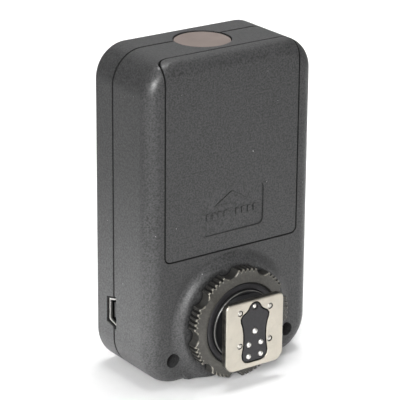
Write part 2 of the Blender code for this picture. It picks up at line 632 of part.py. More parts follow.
def insert_outline(grow):
    """The contact block's outline in the plate: a lobe round the locking pin, shoulders and a slimmer lower part."""
    cx, cz = 0.0, 15.4
    right = []
    for i, (x, z) in enumerate(INSERT_HALF):
        a = INSERT_HALF[max(i - 1, 0)]
        b = INSERT_HALF[min(i + 1, len(INSERT_HALF) - 1)]
        tx, tz = b[0] - a[0], b[1] - a[1]
        length = math.hypot(tx, tz)
        nx, nz = -tz / length, tx / length
        if i in (0, len(INSERT_HALF) - 1):
            nx, nz = 0.0, 1.0 if i == 0 else -1.0
        right.append((x + nx * grow if i not in (0, len(INSERT_HALF) - 1) else 0.0, z + nz * grow))
    left = [(-x, z) for x, z in reversed(right[1:-1])]
    return right + left


plate_rings = []
for inset, y in ((0.0, PLATE_FRONT + PLATE_T), (0.0, PLATE_FRONT + 0.3), (0.3, PLATE_FRONT)):
    k = len(plate_outline)
    cz = (PLATE_Z0 + PLATE_Z1) / 2
    hz = (PLATE_Z1 - PLATE_Z0) / 2
    plate_rings.append([(x * (half - inset) / half, y, cz + (z - cz) * (hz - inset) / hz) for x, z in plate_outline])
plate = loft(plate_rings)
cut(plate, prism_y(insert_outline(0.3), -22, -15))
for x, z in STUDS:
    cut(plate, cyl("y", (x, z), 0.85, -22, -15, 14))
finish(plate, "foot_plate", NICKEL, (0, -18, 15))

insert = prism_y(insert_outline(-0.1), PLATE_FRONT + 0.06, -16.85)
join(insert, box(-3.3, 3.3, -16.95, -6.9, FOOT_Z - 8.0, FOOT_Z + 8.0))
PINS = [("centre", 0, FOOT_Z, 0.8), ("1", -PIN_X, PIN_ROW1, 0.74), ("2", PIN_X, PIN_ROW1, 0.74), ("3", -PIN_X, PIN_ROW2, 0.74), ("4", PIN_X, PIN_ROW2, 0.74)]
for _, x, z, r in PINS:
    cut(insert, cyl("y", (x, z), r + 0.12, -22, 0, 10))
cut(insert, cyl("y", (0, LOCK_Z), 0.87, -22, 0, 10))
finish(insert, "foot_contact_block", BLACK, (0, -12, FOOT_Z))

for tag, x, z, r in PINS:
    pin = turned(
        [(0, PIN_TIP), (r * 0.5, PIN_TIP + 0.07), (r * 0.85, PIN_TIP + 0.28), (r, PIN_TIP + 0.6), (r, -6.6), (1.1, -6.6), (1.1, -6.1), (0.45, -6.1), (0.45, -3.5), (0, -3.5)],
        "y", (x, z), 10,
    )
    finish(pin, "contact_pin_" + tag, GOLD if tag == "x" else NICKEL, (x, -18, z))
lock = turned([(0, -18.75), (0.45, -18.72), (0.75, -18.4), (0.75, -5.0), (0.95, -5.0), (0.95, -4.3), (0, -4.3)], "y", (0, LOCK_Z), 10)
finish(lock, "locking_pin", NICKEL, (0, -18, LOCK_Z))
for i, (x, z) in enumerate(STUDS):
    s = turned([(0, -3.5), (1.15, -3.5), (1.45, -3.85), (1.45, -4.5), (0.76, -4.5), (0.76, -18.65), (0.5, -18.9), (0, -18.93)], "y", (x, z), 10)
    finish(s, f"foot_screw_{i + 1}", STEEL, (x, -10, z))

# ------------------------------------------------------------------ locking wheel and its clamp ring


def wheel_outline(r_out, scallop_steps=4):
    """Nine finger scallops with four small grooves between each pair."""
    scallop_r, centre_r = 2.5, r_out * math.cos(math.radians(7.9)) + 1.15
    pts = []
    for k in range(9):
        mid = math.radians(63.5 + 40 * k)
        c = Vector((centre_r * math.cos(mid), centre_r * math.sin(mid)))
        reach = math.acos((centre_r**2 + scallop_r**2 - r_out**2) / (2 * centre_r * scallop_r))
        for i in range(scallop_steps + 1):
            a = mid + math.pi + reach - 2 * reach * i / scallop_steps
            pts.append((c.x + scallop_r * math.cos(a), c.y + scallop_r * math.sin(a)))
        edge = math.degrees(math.acos((r_out**2 + centre_r**2 - scallop_r**2) / (2 * r_out * centre_r)))
        span = 40 - 2 * edge
        groove = span * 0.135
        land = (span - 4 * groove) / 5
        for g in range(4):
            start = edge + land * (g + 1) + groove * g
            for f, depth in ((0.0, 0.0), (0.5, 0.7), (1.0, 0.0)):
                a = mid + math.radians(start + groove * f)
                pts.append(((r_out - depth) * math.cos(a), (r_out - depth) * math.sin(a)))
    return pts


def wheel_ring(r_out, y):
    return [(x, y, FOOT_Z + z) for x, z in wheel_outline(r_out)]


wheel = loft([wheel_ring(WHEEL_R, WHEEL_BACK), wheel_ring(WHEEL_R, WHEEL_RIM + 0.25), wheel_ring(WHEEL_R - 0.25, WHEEL_RIM)])
crown = turned([(0, -11.5), (14.0, -11.5), (14.0, WHEEL_RIM + 0.02), (12.5, WHEEL_LIP + 0.05), (12.0, WHEEL_LIP), (0, WHEEL_LIP)], "y", (0, FOOT_Z), 36)
join(wheel, crown)
hollow = turned([(0, -16), (12.1, -16), (11.75, WHEEL_LIP + 0.3), (11.5, -12.5), (POST_R + 0.2, -12.5), (POST_R + 0.2, -8), (0, -8)], "y", (0, FOOT_Z), 36)
cut(wheel, hollow)
finish(wheel, "lock_wheel", WHEEL, (0, -11.5, FOOT_Z), 28)
ring = turned([(0, -12.6), (11.2, -12.6), (11.2, -13.05), (10.6, -13.3), (10.0, -13.35), (0, -13.35)], "y", (0, FOOT_Z), 32)
cut(ring, cyl("y", (0, FOOT_Z), POST_R + 0.25, -20, 0, 32))
finish(ring, "clamp_ring", BLACK, (0, -13, FOOT_Z))

for obj in made:
    obj.hide_render = False
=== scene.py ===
"""Looks of the wireless flash trigger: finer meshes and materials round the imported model."""

import json
import math

import bmesh
import bpy
from mathutils import Matrix, Vector


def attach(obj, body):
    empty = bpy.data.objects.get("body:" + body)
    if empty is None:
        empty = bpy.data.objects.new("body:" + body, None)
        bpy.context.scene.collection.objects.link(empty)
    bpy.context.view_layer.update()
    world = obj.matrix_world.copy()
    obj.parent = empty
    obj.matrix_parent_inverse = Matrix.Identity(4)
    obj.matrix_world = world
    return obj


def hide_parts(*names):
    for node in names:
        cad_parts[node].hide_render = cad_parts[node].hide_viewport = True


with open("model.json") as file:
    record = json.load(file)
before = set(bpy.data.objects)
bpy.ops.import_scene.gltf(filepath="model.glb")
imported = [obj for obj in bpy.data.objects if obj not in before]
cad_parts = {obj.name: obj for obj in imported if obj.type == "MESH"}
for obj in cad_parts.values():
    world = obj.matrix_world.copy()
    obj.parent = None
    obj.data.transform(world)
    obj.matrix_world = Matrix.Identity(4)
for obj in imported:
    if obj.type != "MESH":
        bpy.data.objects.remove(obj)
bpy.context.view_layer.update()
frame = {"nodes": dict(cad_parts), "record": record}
BODY_OF = {node: body for body, nodes in frame["record"]["behaviour"]["bodies"].items() for node in nodes}

# ------------------------------------------------------------------ materials


class Nodes:
    """A small builder for one material's node tree."""

    def __init__(self, name, rough, metal=0.0, specular=0.5, coat=0.0):
        self.mat = bpy.data.materials.new(name)
        self.mat.use_nodes = True
        self.tree = self.mat.node_tree
        self.shader = self.tree.nodes["Principled BSDF"]
        self.shader.inputs["Roughness"].default_value = rough
        self.shader.inputs["Metallic"].default_value = metal
        self.shader.inputs["Specular IOR Level"].default_value = specular
        self.shader.inputs["Coat Weight"].default_value = coat
        self.shader.inputs["Coat Roughness"].default_value = 0.08
        self.where = self.add("ShaderNodeTexCoord").outputs["Object"]

    def add(self, kind, **values):
        node = self.tree.nodes.new(kind)
        for key, value in values.items():
            if key in node.inputs:
                node.inputs[key].default_value = value
            else:
                setattr(node, key, value)
        return node

    def link(self, a, b):
        self.tree.links.new(a, b)

    def stretched(self, scale):
        node = self.add("ShaderNodeMapping")
        node.inputs["Scale"].default_value = scale
        self.link(self.where, node.inputs["Vector"])
        return node.outputs["Vector"]

    def noise(self, size_mm, detail=2.0, rough=0.55, vector=None):
        node = self.add("ShaderNodeTexNoise", Scale=1000.0 / size_mm, Detail=detail, Roughness=rough)
        self.link(vector or self.where, node.inputs["Vector"])
        return node.outputs["Fac"]

    def cells(self, size_mm, vector=None):
        node = self.add("ShaderNodeTexVoronoi", Scale=1000.0 / size_mm)
        self.link(vector or self.where, node.inputs["Vector"])
        return node

    def ramp(self, fac, *stops, constant=False):
        node = self.add("ShaderNodeValToRGB")
        if constant:
            node.color_ramp.interpolation = "CONSTANT"
        while len(node.color_ramp.elements) < len(stops):
            node.color_ramp.elements.new(0.5)
        for element, (at, value) in zip(node.color_ramp.elements, stops):
            element.position = at
            element.color = (*value, 1) if isinstance(value, (tuple, list)) else (value, value, value, 1)
        self.link(fac, node.inputs["Fac"])
        return node.outputs["Color"]

    def spread(self, fac, low, high, a=0.3, b=0.7):
        node = self.add("ShaderNodeMapRange")
        for key, value in (("From Min", a), ("From Max", b), ("To Min", low), ("To Max", high)):
            node.inputs[key].default_value = value
        self.link(fac, node.inputs["Value"])
        return node.outputs["Result"]

    def mix(self, fac, a, b):
        node = self.add("ShaderNodeMix", data_type="RGBA")
        for socket, value in ((node.inputs["Factor"], fac), (node.inputs[6], a), (node.inputs[7], b)):
            if isinstance(value, (tuple, list)):
                socket.default_value = (*value, 1)
            elif isinstance(value, (int, float)):
                socket.default_value = value
            else:
                self.link(value, socket)
        return node.outputs[2]

    def maths(self, operation, a, b=0.0):
        node = self.add("ShaderNodeMath", operation=operation)
        for socket, value in zip(node.inputs, (a, b)):
            if isinstance(value, (int, float)):
                socket.default_value = value
            else:
                self.link(value, socket)
        return node.outputs["Value"]

    def rim(self):
        """1 on the small roundings between faces that look along Y and those that look across it, 0 elsewhere."""
        split = self.add("ShaderNodeSeparateXYZ")
        self.link(self.add("ShaderNodeNewGeometry").outputs["True Normal"], split.inputs["Vector"])
        return self.ramp(self.maths("ABSOLUTE", split.outputs["Y"]), (0.2, 0.0), (0.42, 1.0), (0.84, 1.0), (0.93, 0.0))

    def cut_edge(self):
        """1 on the faces square to the front, 0 on the front."""
        split = self.add("ShaderNodeSeparateXYZ")
        self.link(self.add("ShaderNodeNewGeometry").outputs["True Normal"], split.inputs["Vector"])
        return self.ramp(self.maths("ABSOLUTE", split.outputs["Y"]), (0.2, 1.0), (0.45, 0.0))

    def painted_crevice_shade(self, reach_mm):
        """Painted shade: 1 in lines, grooves and holes narrower than reach_mm, where little light reaches, 0 in the
        open.
        """
        node = self.add("ShaderNodeAmbientOcclusion", Distance=reach_mm / 1000.0, samples=6)
        return self.spread(node.outputs["AO"], 1.0, 0.0, 0.38, 0.78)

    def colour(self, socket):
        self.link(socket, self.shader.inputs["Base Color"])

    def roughness(self, socket):
        self.link(socket, self.shader.inputs["Roughness"])

    def bump(self, height, strength, distance_mm):
        node = self.add("ShaderNodeBump")
        node.inputs["Strength"].default_value = strength
        node.inputs["Distance"].default_value = distance_mm / 1000.0
        self.link(height, node.inputs["Height"])
        self.link(node.outputs["Normal"], self.shader.inputs["Normal"])


def plastic(name, rgb, rough, grain=0.34, depth=0.3, vary=0.18, specks=0.0, specular=0.5, coat=0.0, edge=None, side=None, crevice_shade_mm=0.0, end=0.0):
    """Moulded plastic: spark-eroded grain, slow changes of tone and sheen, a few bright specks, a painted highlight on
    the rims where edge gives its colour, painted shade on the flanks where side gives theirs, painted light on the flat
    ends where end is set, and painted shade in lines and grooves.
    """
    m = Nodes(name, rough, specular=specular, coat=coat)
    fine = m.noise(grain, 3.0, 0.65)
    coarse = m.noise(grain * 1.2, 2.0, 0.7)
    slow = m.noise(22.0, 2.0)
    low = tuple(c * (1 - vary) for c in rgb)
    high = tuple(c * (1 + vary) for c in rgb)
    tone = m.mix(m.spread(coarse, 0, 1, 0.36, 0.64), low, high)
    tone = m.mix(m.spread(slow, 0.0, 0.22), tone, tuple(c * 1.35 for c in rgb))
    if specks:
        dots = m.cells(1.1)
        near = m.maths("LESS_THAN", dots.outputs["Distance"], 0.12)
        picked = m.maths("GREATER_THAN", m.noise(2.3, 1.0), 0.7)
        tone = m.mix(m.maths("MULTIPLY", m.maths("MULTIPLY", near, picked), specks), tone, (0.4, 0.4, 0.4))
    # painted shade: the faces square to the front, such as the wheel's knurl flanks, are darker
    if side:
        tone = m.mix(m.cut_edge(), tone, side)
    # painted highlight: a patchy bright colour on the small roundings
    if edge:
        tone = m.mix(m.maths("MULTIPLY", m.rim(), m.spread(m.noise(1.7, 2.0), 0.45, 1.0)), tone, edge)
    sheen = m.maths("ADD", m.spread(fine, rough - 0.06, rough + 0.07), m.spread(slow, -0.025, 0.025))
    if end:
        # the end faces are more matt than the roundings, and painted lighter: painted light on the flat ends
        split = m.add("ShaderNodeSeparateXYZ")
        m.link(m.add("ShaderNodeNewGeometry").outputs["True Normal"], split.inputs["Vector"])
        flat = m.ramp(m.maths("ABSOLUTE", split.outputs["Z"]), (0.8, 0.0), (0.985, 1.0))
        sheen = m.maths("ADD", sheen, m.maths("MULTIPLY", flat, end))
        tone = m.mix(m.maths("MULTIPLY", flat, 0.5), tone, tuple(c * 1.75 for c in rgb))
    # painted shade: lines, grooves and holes narrower than the reach are darkened nearly to black and made matt
    if crevice_shade_mm:
        shade = m.painted_crevice_shade(crevice_shade_mm)
        tone = m.mix(shade, tone, tuple(c * 0.08 for c in rgb))
        sheen = m.maths("MAXIMUM", sheen, m.maths("MULTIPLY", shade, 0.85))
    m.colour(tone)
    m.roughness(sheen)
    m.bump(fine, depth, 0.05)
    return m.mat


def metal(name, rgb, rough, brushed=None, depth=0.12, vary=0.06, grime=0.0, shade_inside_x=None, cut=None):
    """Plated or plain metal: brushing or fine blasting, cloudy sheen and faint handling marks."""
    m = Nodes(name, rough, 1.0)
    fine = m.noise(0.5, 3.0, 0.6, m.stretched(brushed) if brushed else None)
    cloud = m.noise(5.5, 4.0, 0.6)
    scratch = m.noise(1.6, 2.0, 0.5, m.stretched((1.0, 1.0, 14.0)))
    tone = m.mix(m.spread(cloud, 0, 1), tuple(c * (1 - vary) for c in rgb), tuple(min(1, c * (1 + vary)) for c in rgb))
    if cut:
        tone = m.mix(m.maths("MULTIPLY", m.cut_edge(), m.spread(m.noise(1.6, 3.0), 0.85, 1.0, 0.4, 0.6)), tone, cut)
    if shade_inside_x is not None:
        # painted shade inside the socket: the plating is left bright only at the mouth
        split = m.add("ShaderNodeSeparateXYZ")
        m.link(m.where, split.inputs["Vector"])
        tone = m.mix(m.spread(split.outputs["X"], 0, 1, shade_inside_x, shade_inside_x + 0.0006), tone, (0.02, 0.02, 0.02))
    if grime:
        tone = m.mix(m.spread(m.noise(1.3, 5.0, 0.7), 0, grime, 0.5, 0.8), tone, tuple(c * 0.45 for c in rgb))
    m.colour(tone)
    m.roughness(m.maths("ADD", m.spread(cloud, rough - 0.05, rough + 0.07), m.spread(scratch, -0.03, 0.05)))
    m.bump(fine, depth, 0.03)
    return m.mat


# CASE, WHEEL, BLACK and POST are darkened in their crevices as painted shade; WHEEL and POST carry a painted highlight
# on their rims, WHEEL painted shade on its flanks, CASE painted light on its flat ends
CASE = plastic("case_plastic_fine", (0.0425, 0.0425, 0.043), 0.4, 0.4, 0.34, 0.58, specks=0.8, crevice_shade_mm=1.1, end=0.26)
WHEEL = plastic("wheel_plastic_fine", (0.063, 0.06, 0.053), 0.42, 0.5, 0.3, 0.2, specks=0.25, edge=(0.22, 0.207, 0.175), side=(0.017, 0.0165, 0.015), crevice_shade_mm=0.9)
BLACK = plastic("black_plastic_fine", (0.02, 0.019, 0.021), 0.4, 0.4, 0.22, 0.2, crevice_shade_mm=0.8)
POST = plastic("post_plastic_fine", (0.019, 0.019, 0.02), 0.36, 0.4, 0.2, 0.15, edge=(0.11, 0.108, 0.1), crevice_shade_mm=0.9)
NICKEL = metal("nickel_plate_fine", (0.79, 0.76, 0.705), 0.36, None, 0.2, 0.06, grime=0.14)
PLATE = metal("plate_nickel_fine", (0.635, 0.592, 0.512), 0.37, None, 0.24, 0.07, grime=0.16, cut=(0.1, 0.095, 0.088))
PIN = metal("pin_plate_fine", (0.93, 0.91, 0.87), 0.46, None, 0.1, 0.04)
STUD = metal("stud_tip_fine", (0.74, 0.71, 0.65), 0.3, None, 0.2, 0.1, grime=0.25)
STEEL = metal("steel_fine", (0.52, 0.52, 0.51), 0.36, (1.0, 8.0, 1.0), 0.2, 0.1, grime=0.25)
# the socket's inside is darkened as painted shade
USB_METAL = metal("usb_shell_fine", (0.8, 0.79, 0.76), 0.4, None, 0.12, 0.05, shade_inside_x=-0.0258)
DARK_STEEL = metal("dark_screw_fine", (0.06, 0.06, 0.062), 0.42, None, 0.25, 0.15)
GOLD = metal("gold_contact_fine", (0.86, 0.66, 0.31), 0.3, None, 0.12, 0.05, grime=0.15)


def lamp_material():
    m = Nodes("lamp_window_fine", 0.8, specular=0.25)
    fine, slow = m.noise(0.6, 2.0), m.noise(6.0, 3.0)
    tone = m.mix(m.spread(slow, 0, 1), (0.204, 0.168, 0.152), (0.24, 0.198, 0.179))
    m.colour(m.mix(m.spread(fine, 0, 0.3), tone, (0.26, 0.22, 0.2)))
    m.roughness(m.spread(fine, 0.76, 0.84))
    m.bump(fine, 0.1, 0.03)
    return m.mat


def clear_material():
    m = Nodes("clear_plastic_fine", 0.2, coat=0.3)
    slow = m.noise(0.9, 3.0)
    m.colour(m.mix(m.spread(slow, 0, 1), (0.5, 0.53, 0.52), (0.68, 0.7, 0.69)))
    m.roughness(m.spread(slow, 0.14, 0.26))
    m.bump(slow, 0.08, 0.05)
    return m.mat


def board_material():
    m = Nodes("circuit_board_fine", 0.36, coat=0.2)
    tracks = m.add("ShaderNodeTexBrick", offset=0.37, squash=1.6, squash_frequency=3)
    tracks.inputs["Scale"].default_value = 260.0
    tracks.inputs["Mortar Size"].default_value = 0.045
    tracks.inputs["Color1"].default_value = (0.018, 0.12, 0.05, 1)
    tracks.inputs["Color2"].default_value = (0.022, 0.14, 0.06, 1)
    tracks.inputs["Mortar"].default_value = (0.03, 0.21, 0.09, 1)
    turn = m.add("ShaderNodeMapping")
    turn.inputs["Rotation"].default_value = (math.radians(90), 0, 0)
    m.link(m.where, turn.inputs["Vector"])
    m.link(turn.outputs["Vector"], tracks.inputs["Vector"])
    holes = m.maths("LESS_THAN", m.cells(3.1).outputs["Distance"], 0.12)
    m.colour(m.mix(holes, tracks.outputs["Color"], (0.62, 0.55, 0.4)))
    fine = m.noise(0.6, 3.0)
    m.roughness(m.spread(fine, 0.3, 0.42))
    m.bump(tracks.outputs["Fac"], 0.25, 0.04)
    return m.mat


def cell_material(name, low, high):
    """A plain printed jacket: a dark field, a thin band and a lighter band towards the positive end."""
    m = Nodes(name, 0.3, 0.35, coat=0.4)
    split = m.add("ShaderNodeSeparateXYZ")
    m.link(m.where, split.inputs["Vector"])
    up = m.spread(split.outputs["Z"], 0, 1, low, high)
    bands = m.ramp(up, (0.0, (0.45, 0.45, 0.46)), (0.025, (0.03, 0.05, 0.09)), (0.24, (0.5, 0.5, 0.52)), (0.265, (0.035, 0.06, 0.11)), (0.72, (0.5, 0.5, 0.52)), (0.745, (0.42, 0.3, 0.1)), (0.965, (0.5, 0.5, 0.52)), constant=True)
    slow = m.noise(4.0, 3.0)
    m.colour(m.mix(m.spread(slow, 0, 0.15), bands, (0.2, 0.2, 0.22)))
    m.roughness(m.spread(slow, 0.24, 0.38))
    m.bump(m.noise(0.9, 2.0), 0.05, 0.03)
    return m.mat


def ribbon_material():
    m = Nodes("ribbon_cable_fine", 0.35)
    wave = m.add("ShaderNodeTexWave", bands_direction="X")
    wave.inputs["Scale"].default_value = 320.0
    wave.inputs["Distortion"].default_value = 0.2
    m.link(m.where, wave.inputs["Vector"])
    m.colour(m.mix(wave.outputs["Fac"], (0.45, 0.2, 0.05), (0.62, 0.34, 0.1)))
    m.roughness(m.spread(m.noise(1.5), 0.3, 0.42))
    return m.mat


WINDOW = lamp_material()
CLEAR = clear_material()
BOARD = board_material()
CHIP = plastic("chip_fine", (0.022, 0.022, 0.023), 0.5, 0.25, 0.25, 0.2)
CELL = cell_material("cell_jacket_fine", 0.0336, 0.0841)
CELL_DOWN = cell_material("cell_jacket_down_fine", 0.0828, 0.0323)
PANEL = plastic("gloss_panel_fine", (0.01, 0.01, 0.0105), 0.1, 3.5, 0.03, 0.1, coat=0.5)
RIBBON = ribbon_material()
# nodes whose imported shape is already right, which only take a better material
KEPT = {
    "main_board", "foot_board", "foot_ribbon", "battery_contact_1", "battery_contact_2", "focus_lamp_led", "usb_socket_tongue", "power_switch_body",
}

# ------------------------------------------------------------------ driving dimensions
CASE_W = 53.0  # width, X
CASE_L = 89.5  # length, Z
CASE_T = 25.4  # thickness without foot and shoe, Y
CORNER_TOP = 9.0  # plan corner radius at the lamp end
CORNER_LOW = 10.5  # plan corner radius at the standing end
WALL = 1.8
EDGE_R = 4.2  # rounding between the walls and the door side
BACK_R = 1.5  # rounding between the walls and the shoe side
SEAM_DEPTH = 9.3  # depth of the shoe-side case, from its flat face
SEAM_GAP = 0.65
GAP = 0.45  # line round the battery door

YB = 17.3  # flat face on the shoe side
YF = YB - CASE_T  # flat face on the door side, -8.1
YS = YB - SEAM_DEPTH  # seam face of the door-side case, 8.0
YT = YS + SEAM_GAP

FOOT_Z = 15.6  # height of the foot's axis
WHEEL_R = 15.4
WHEEL_BACK, WHEEL_RIM, WHEEL_LIP = -10.05, -13.2, -13.7
BOSS_Y, BOSS_R, BOSS_BASE_R = -9.8, 16.1, 20.0
POST_R = 9.6
PLATE_W, PLATE_FRONT, PLATE_T = 18.6, -19.0, 2.0
PLATE_Z0, PLATE_Z1 = 5.3, 24.5
PIN_TIP = -19.5
PIN_X, PIN_ROW1, PIN_ROW2, LOCK_Z = 1.97, 12.0, 8.67, 22.5
STUDS = [(-4.85, 21.6), (4.85, 21.6), (-4.85, 12.25), (4.85, 12.25)]

DOOR_X, DOOR_Z0, DOOR_END_Y, DOOR_T = 21.05, 35.7, -3.9, 1.6
LAMP_Y, LAMP_R = 6.06, 7.5

CELL_R, CELL_L, CELL_X, CELL_Y = 7.2, 50.5, 7.6, 1.25
BAY_X, BAY_Z0, BAY_Z1, BAY_FLOOR = 18.6, 31.6, 84.8, 8.6
INNER_SCREW_X, INNER_SCREW_Z = 16.6, 82.3

SHOE_TOP = 19.5  # top of the shoe's rails
SHOE_FLOOR = 16.65
RAIL_T = 0.8
SHOE_Z0, SHOE_Z1 = 6.5, 24.5

BOARD_Y0, BOARD_Y1 = 11.5, 12.7
USB_Z, USB_X = 17.55, -26.0

# ------------------------------------------------------------------ mesh helpers, in millimetres

made = []


def to_object(name, bm, mat=None):
    bmesh.ops.recalc_face_normals(bm, faces=bm.faces)
    mesh = bpy.data.meshes.new(name)
    bm.to_mesh(mesh)
    bm.free()
    obj = bpy.data.objects.new(name, mesh)
    bpy.context.scene.collection.objects.link(obj)
    if mat:
        mesh.materials.append(mat)
    return obj


def loft(rings, name="tool", mat=None, closed=True):
    """A closed solid through rings of the same number of points; the first and last are capped."""
    bm = bmesh.new()
    grid = [[bm.verts.new(p) for p in ring] for ring in rings]
    for a, b in zip(grid, grid[1:]):
        n = len(a)
        for i in range(n):
            bm.faces.new((a[i], a[(i + 1) % n], b[(i + 1) % n], b[i]))
    if closed:
        bm.faces.new(grid[0])
        bm.faces.new(grid[-1])
    return to_object(name, bm, mat)


def loop(rings, name="tool", mat=None):
    """A ring-shaped solid: the last ring is joined back to the first."""
    bm = bmesh.new()
    grid = [[bm.verts.new(p) for p in ring] for ring in rings]
    for a, b in zip(grid, grid[1:] + grid[:1]):
        n = len(a)
        for i in range(n):
            bm.faces.new((a[i], a[(i + 1) % n], b[(i + 1) % n], b[i]))
    return to_object(name, bm, mat)


def box(x0, x1, y0, y1, z0, z1, name="tool", mat=None):
    return loft(
        [
            [(x0, y, z0), (x1, y, z0), (x1, y, z1), (x0, y, z1)]
            for y in (y0, y1)
        ],
        name,
        mat,
    )


def prism_y(outline, y0, y1, name="tool", mat=None):
    return loft([[(x, y, z) for x, z in outline] for y in (y0, y1)], name, mat)


def prism_z(outline, z0, z1, name="tool", mat=None):
    return loft([[(x, y, z) for x, y in outline] for z in (z0, z1)], name, mat)


def prism_x(outline, x0, x1, name="tool", mat=None):
    return loft([[(x, y, z) for y, z in outline] for x in (x0, x1)], name, mat)


def turned(profile, axis, centre, n=24, name="tool", mat=None):
    """A turned solid. profile is (radius, place along the axis) from one end to the other; it starts and ends on the axis where radius is 0."""
    n = n * 3 if n > 9 else n * 2
    u, v = {"x": (1, 2), "y": (0, 2), "z": (0, 1)}[axis]
    w = "xyz".index(axis)
    bm = bmesh.new()
    rings = []
    for r, a in profile:
        if r == 0:
            p = [0.0, 0.0, 0.0]
            p[u], p[v], p[w] = centre[0], centre[1], a
            rings.append([bm.verts.new(p)])
            continue
        ring = []
        for i in range(n):
            t = 2 * math.pi * i / n
            p = [0.0, 0.0, 0.0]
            p[u], p[v], p[w] = centre[0] + r * math.cos(t), centre[1] + r * math.sin(t), a
            ring.append(bm.verts.new(p))
        rings.append(ring)
    for a, b in zip(rings, rings[1:]):
        for i in range(n):
            j = (i + 1) % n
            if len(a) == 1:
                bm.faces.new((a[0], b[i], b[j]))
            elif len(b) == 1:
                bm.faces.new((a[i], a[j], b[0]))
            else:
                bm.faces.new((a[i], a[j], b[j], b[i]))
    if len(rings[0]) > 1:
        bm.faces.new(rings[0])
    if len(rings[-1]) > 1:
        bm.faces.new(rings[-1])
    return to_object(name, bm, mat)


def cyl(axis, centre, r, a0, a1, n=24, name="tool", mat=None):
    return turned([(r, a0), (r, a1)], axis, centre, n, name, mat)


def apply(obj):
    bpy.context.view_layer.update()
    graph = bpy.context.evaluated_depsgraph_get()
    mesh = bpy.data.meshes.new_from_object(obj.evaluated_get(graph))
    obj.modifiers.clear()
    old = obj.data
    obj.data = mesh
    bpy.data.meshes.remove(old)
    return obj


def boolean(obj, tool, operation):
    modifier = obj.modifiers.new("cut", "BOOLEAN")
    modifier.operation = operation
    modifier.solver = "EXACT"
    modifier.object = tool
    apply(obj)
    bpy.data.objects.remove(tool)
    return obj


def cut(obj, *tools):
    for tool in tools:
        boolean(obj, tool, "DIFFERENCE")
    return obj


def join(obj, *tools):
    for tool in tools:
        boolean(obj, tool, "UNION")
    return obj


def meet(obj, *tools):
    for tool in tools:
        boolean(obj, tool, "INTERSECT")
    return obj


EDGE = {
    "battery_door": 0.1, "door_side_case": 0.08, "shoe_side_case": 0.08, "channel_button": 0.22, "group_button": 0.22, "power_switch_knob": 0.08, "shoe_clip": 0.1,
    "foot_post": 0.1, "clamp_ring": 0.06, "usb_socket_shell": 0.09, "radio_module": 0.08, "foot_contact_block": 0.06, "shoe_contact_block": 0.06, "channel_switch": 0.08, "group_switch": 0.08,
}


def finish(obj, name, mat, origin=(0, 0, 0), smooth=35, edge=0.0, segments=2):
    """Millimetres to metres. The piece rides on its node's body and stands for the node, or leaves the node showing with this material."""
    if name in KEPT:
        bpy.data.objects.remove(obj)
        node = frame["nodes"][name]
        node.data.materials.clear()
        node.data.materials.append(mat)
        return node
    obj.name = name + "_piece"
    obj.data.name = name + "_piece"
    bm = bmesh.new()
    bm.from_mesh(obj.data)
    bmesh.ops.remove_doubles(bm, verts=bm.verts, dist=0.002)
    bmesh.ops.dissolve_degenerate(bm, edges=bm.edges, dist=0.002)
    bmesh.ops.dissolve_limit(bm, angle_limit=math.radians(0.5), verts=bm.verts, edges=bm.edges)
    bm.to_mesh(obj.data)
    bm.free()
    edge = EDGE.get(name, 0)
    if edge:
        modifier = obj.modifiers.new("edge", "BEVEL")
        modifier.width = edge
        modifier.segments = segments
        modifier.limit_method = "ANGLE"
        modifier.angle_limit = math.radians(38)
        modifier.use_clamp_overlap = True
        modifier.miter_outer = "MITER_ARC"
        apply(obj)
    obj.data.transform(Matrix.Scale(0.001, 4))
    obj.data.materials.clear()
    obj.data.materials.append(mat)
    for polygon in obj.data.polygons:
        polygon.material_index = 0
    obj.data.shade_smooth()
    obj.data.set_sharp_from_angle(angle=math.radians(smooth))
    normals = obj.modifiers.new("normals", "WEIGHTED_NORMAL")
    normals.keep_sharp = True
    apply(obj)
    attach(obj, BODY_OF[name])
    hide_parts(name)
    made.append(obj)
    return obj


# ------------------------------------------------------------------ outlines


def case_outline(d, n=20):
    """The case's plan outline in X and Z, moved inwards by d: (x, z) points."""
    half, pts = CASE_W / 2, []
    for cx, cz, r, start in (
        (half - CORNER_LOW, CORNER_LOW, CORNER_LOW, -90),
        (half - CORNER_TOP, CASE_L - CORNER_TOP, CORNER_TOP, 0),
        (-half + CORNER_TOP, CASE_L - CORNER_TOP, CORNER_TOP, 90),
        (-half + CORNER_LOW, CORNER_LOW, CORNER_LOW, 180),
    ):
        for i in range(n + 1):
            t = math.radians(start + 90 * i / n)
            pts.append((cx + (r - d) * math.cos(t), cz + (r - d) * math.sin(t)))
    return pts


def ring_at(d, y, n=20):
    return [(x, y, z) for x, z in case_outline(d, n)]


def door_side_form(d, y_open, n=20, steps=14):
    """The door-side half of the case as a solid, its skin moved inwards by d."""
    rings = [ring_at(d, y_open, n), ring_at(d, YF + EDGE_R, n)]
    r = EDGE_R - d
    for i in range(1, steps + 1):
        t = math.radians(90 * i / steps)
        rings.append(ring_at(d + r * (1 - math.cos(t)), YF + EDGE_R - r * math.sin(t), n))
    return loft(rings)


def rounded(x0, x1, z0, z1, r, n=4):
    """A rectangle with round corners; r is one radius, or four from the low-x low-z corner, turning towards +x."""
    n = n * 2
    rr = r if isinstance(r, (list, tuple)) else [r] * 4
    pts = []
    for cx, cz, sx, sz, start, rad in (
        (x0, z0, 1, 1, 180, rr[0]),
        (x1, z0, -1, 1, 270, rr[1]),
        (x1, z1, -1, -1, 0, rr[2]),
        (x0, z1, 1, -1, 90, rr[3]),
    ):
        if rad == 0:
            pts.append((cx, cz))
            continue
        for i in range(n + 1):
            t = math.radians(start + 90 * i / n)
            pts.append((cx + sx * rad + rad * math.cos(t), cz + sz * rad + rad * math.sin(t)))
    return pts


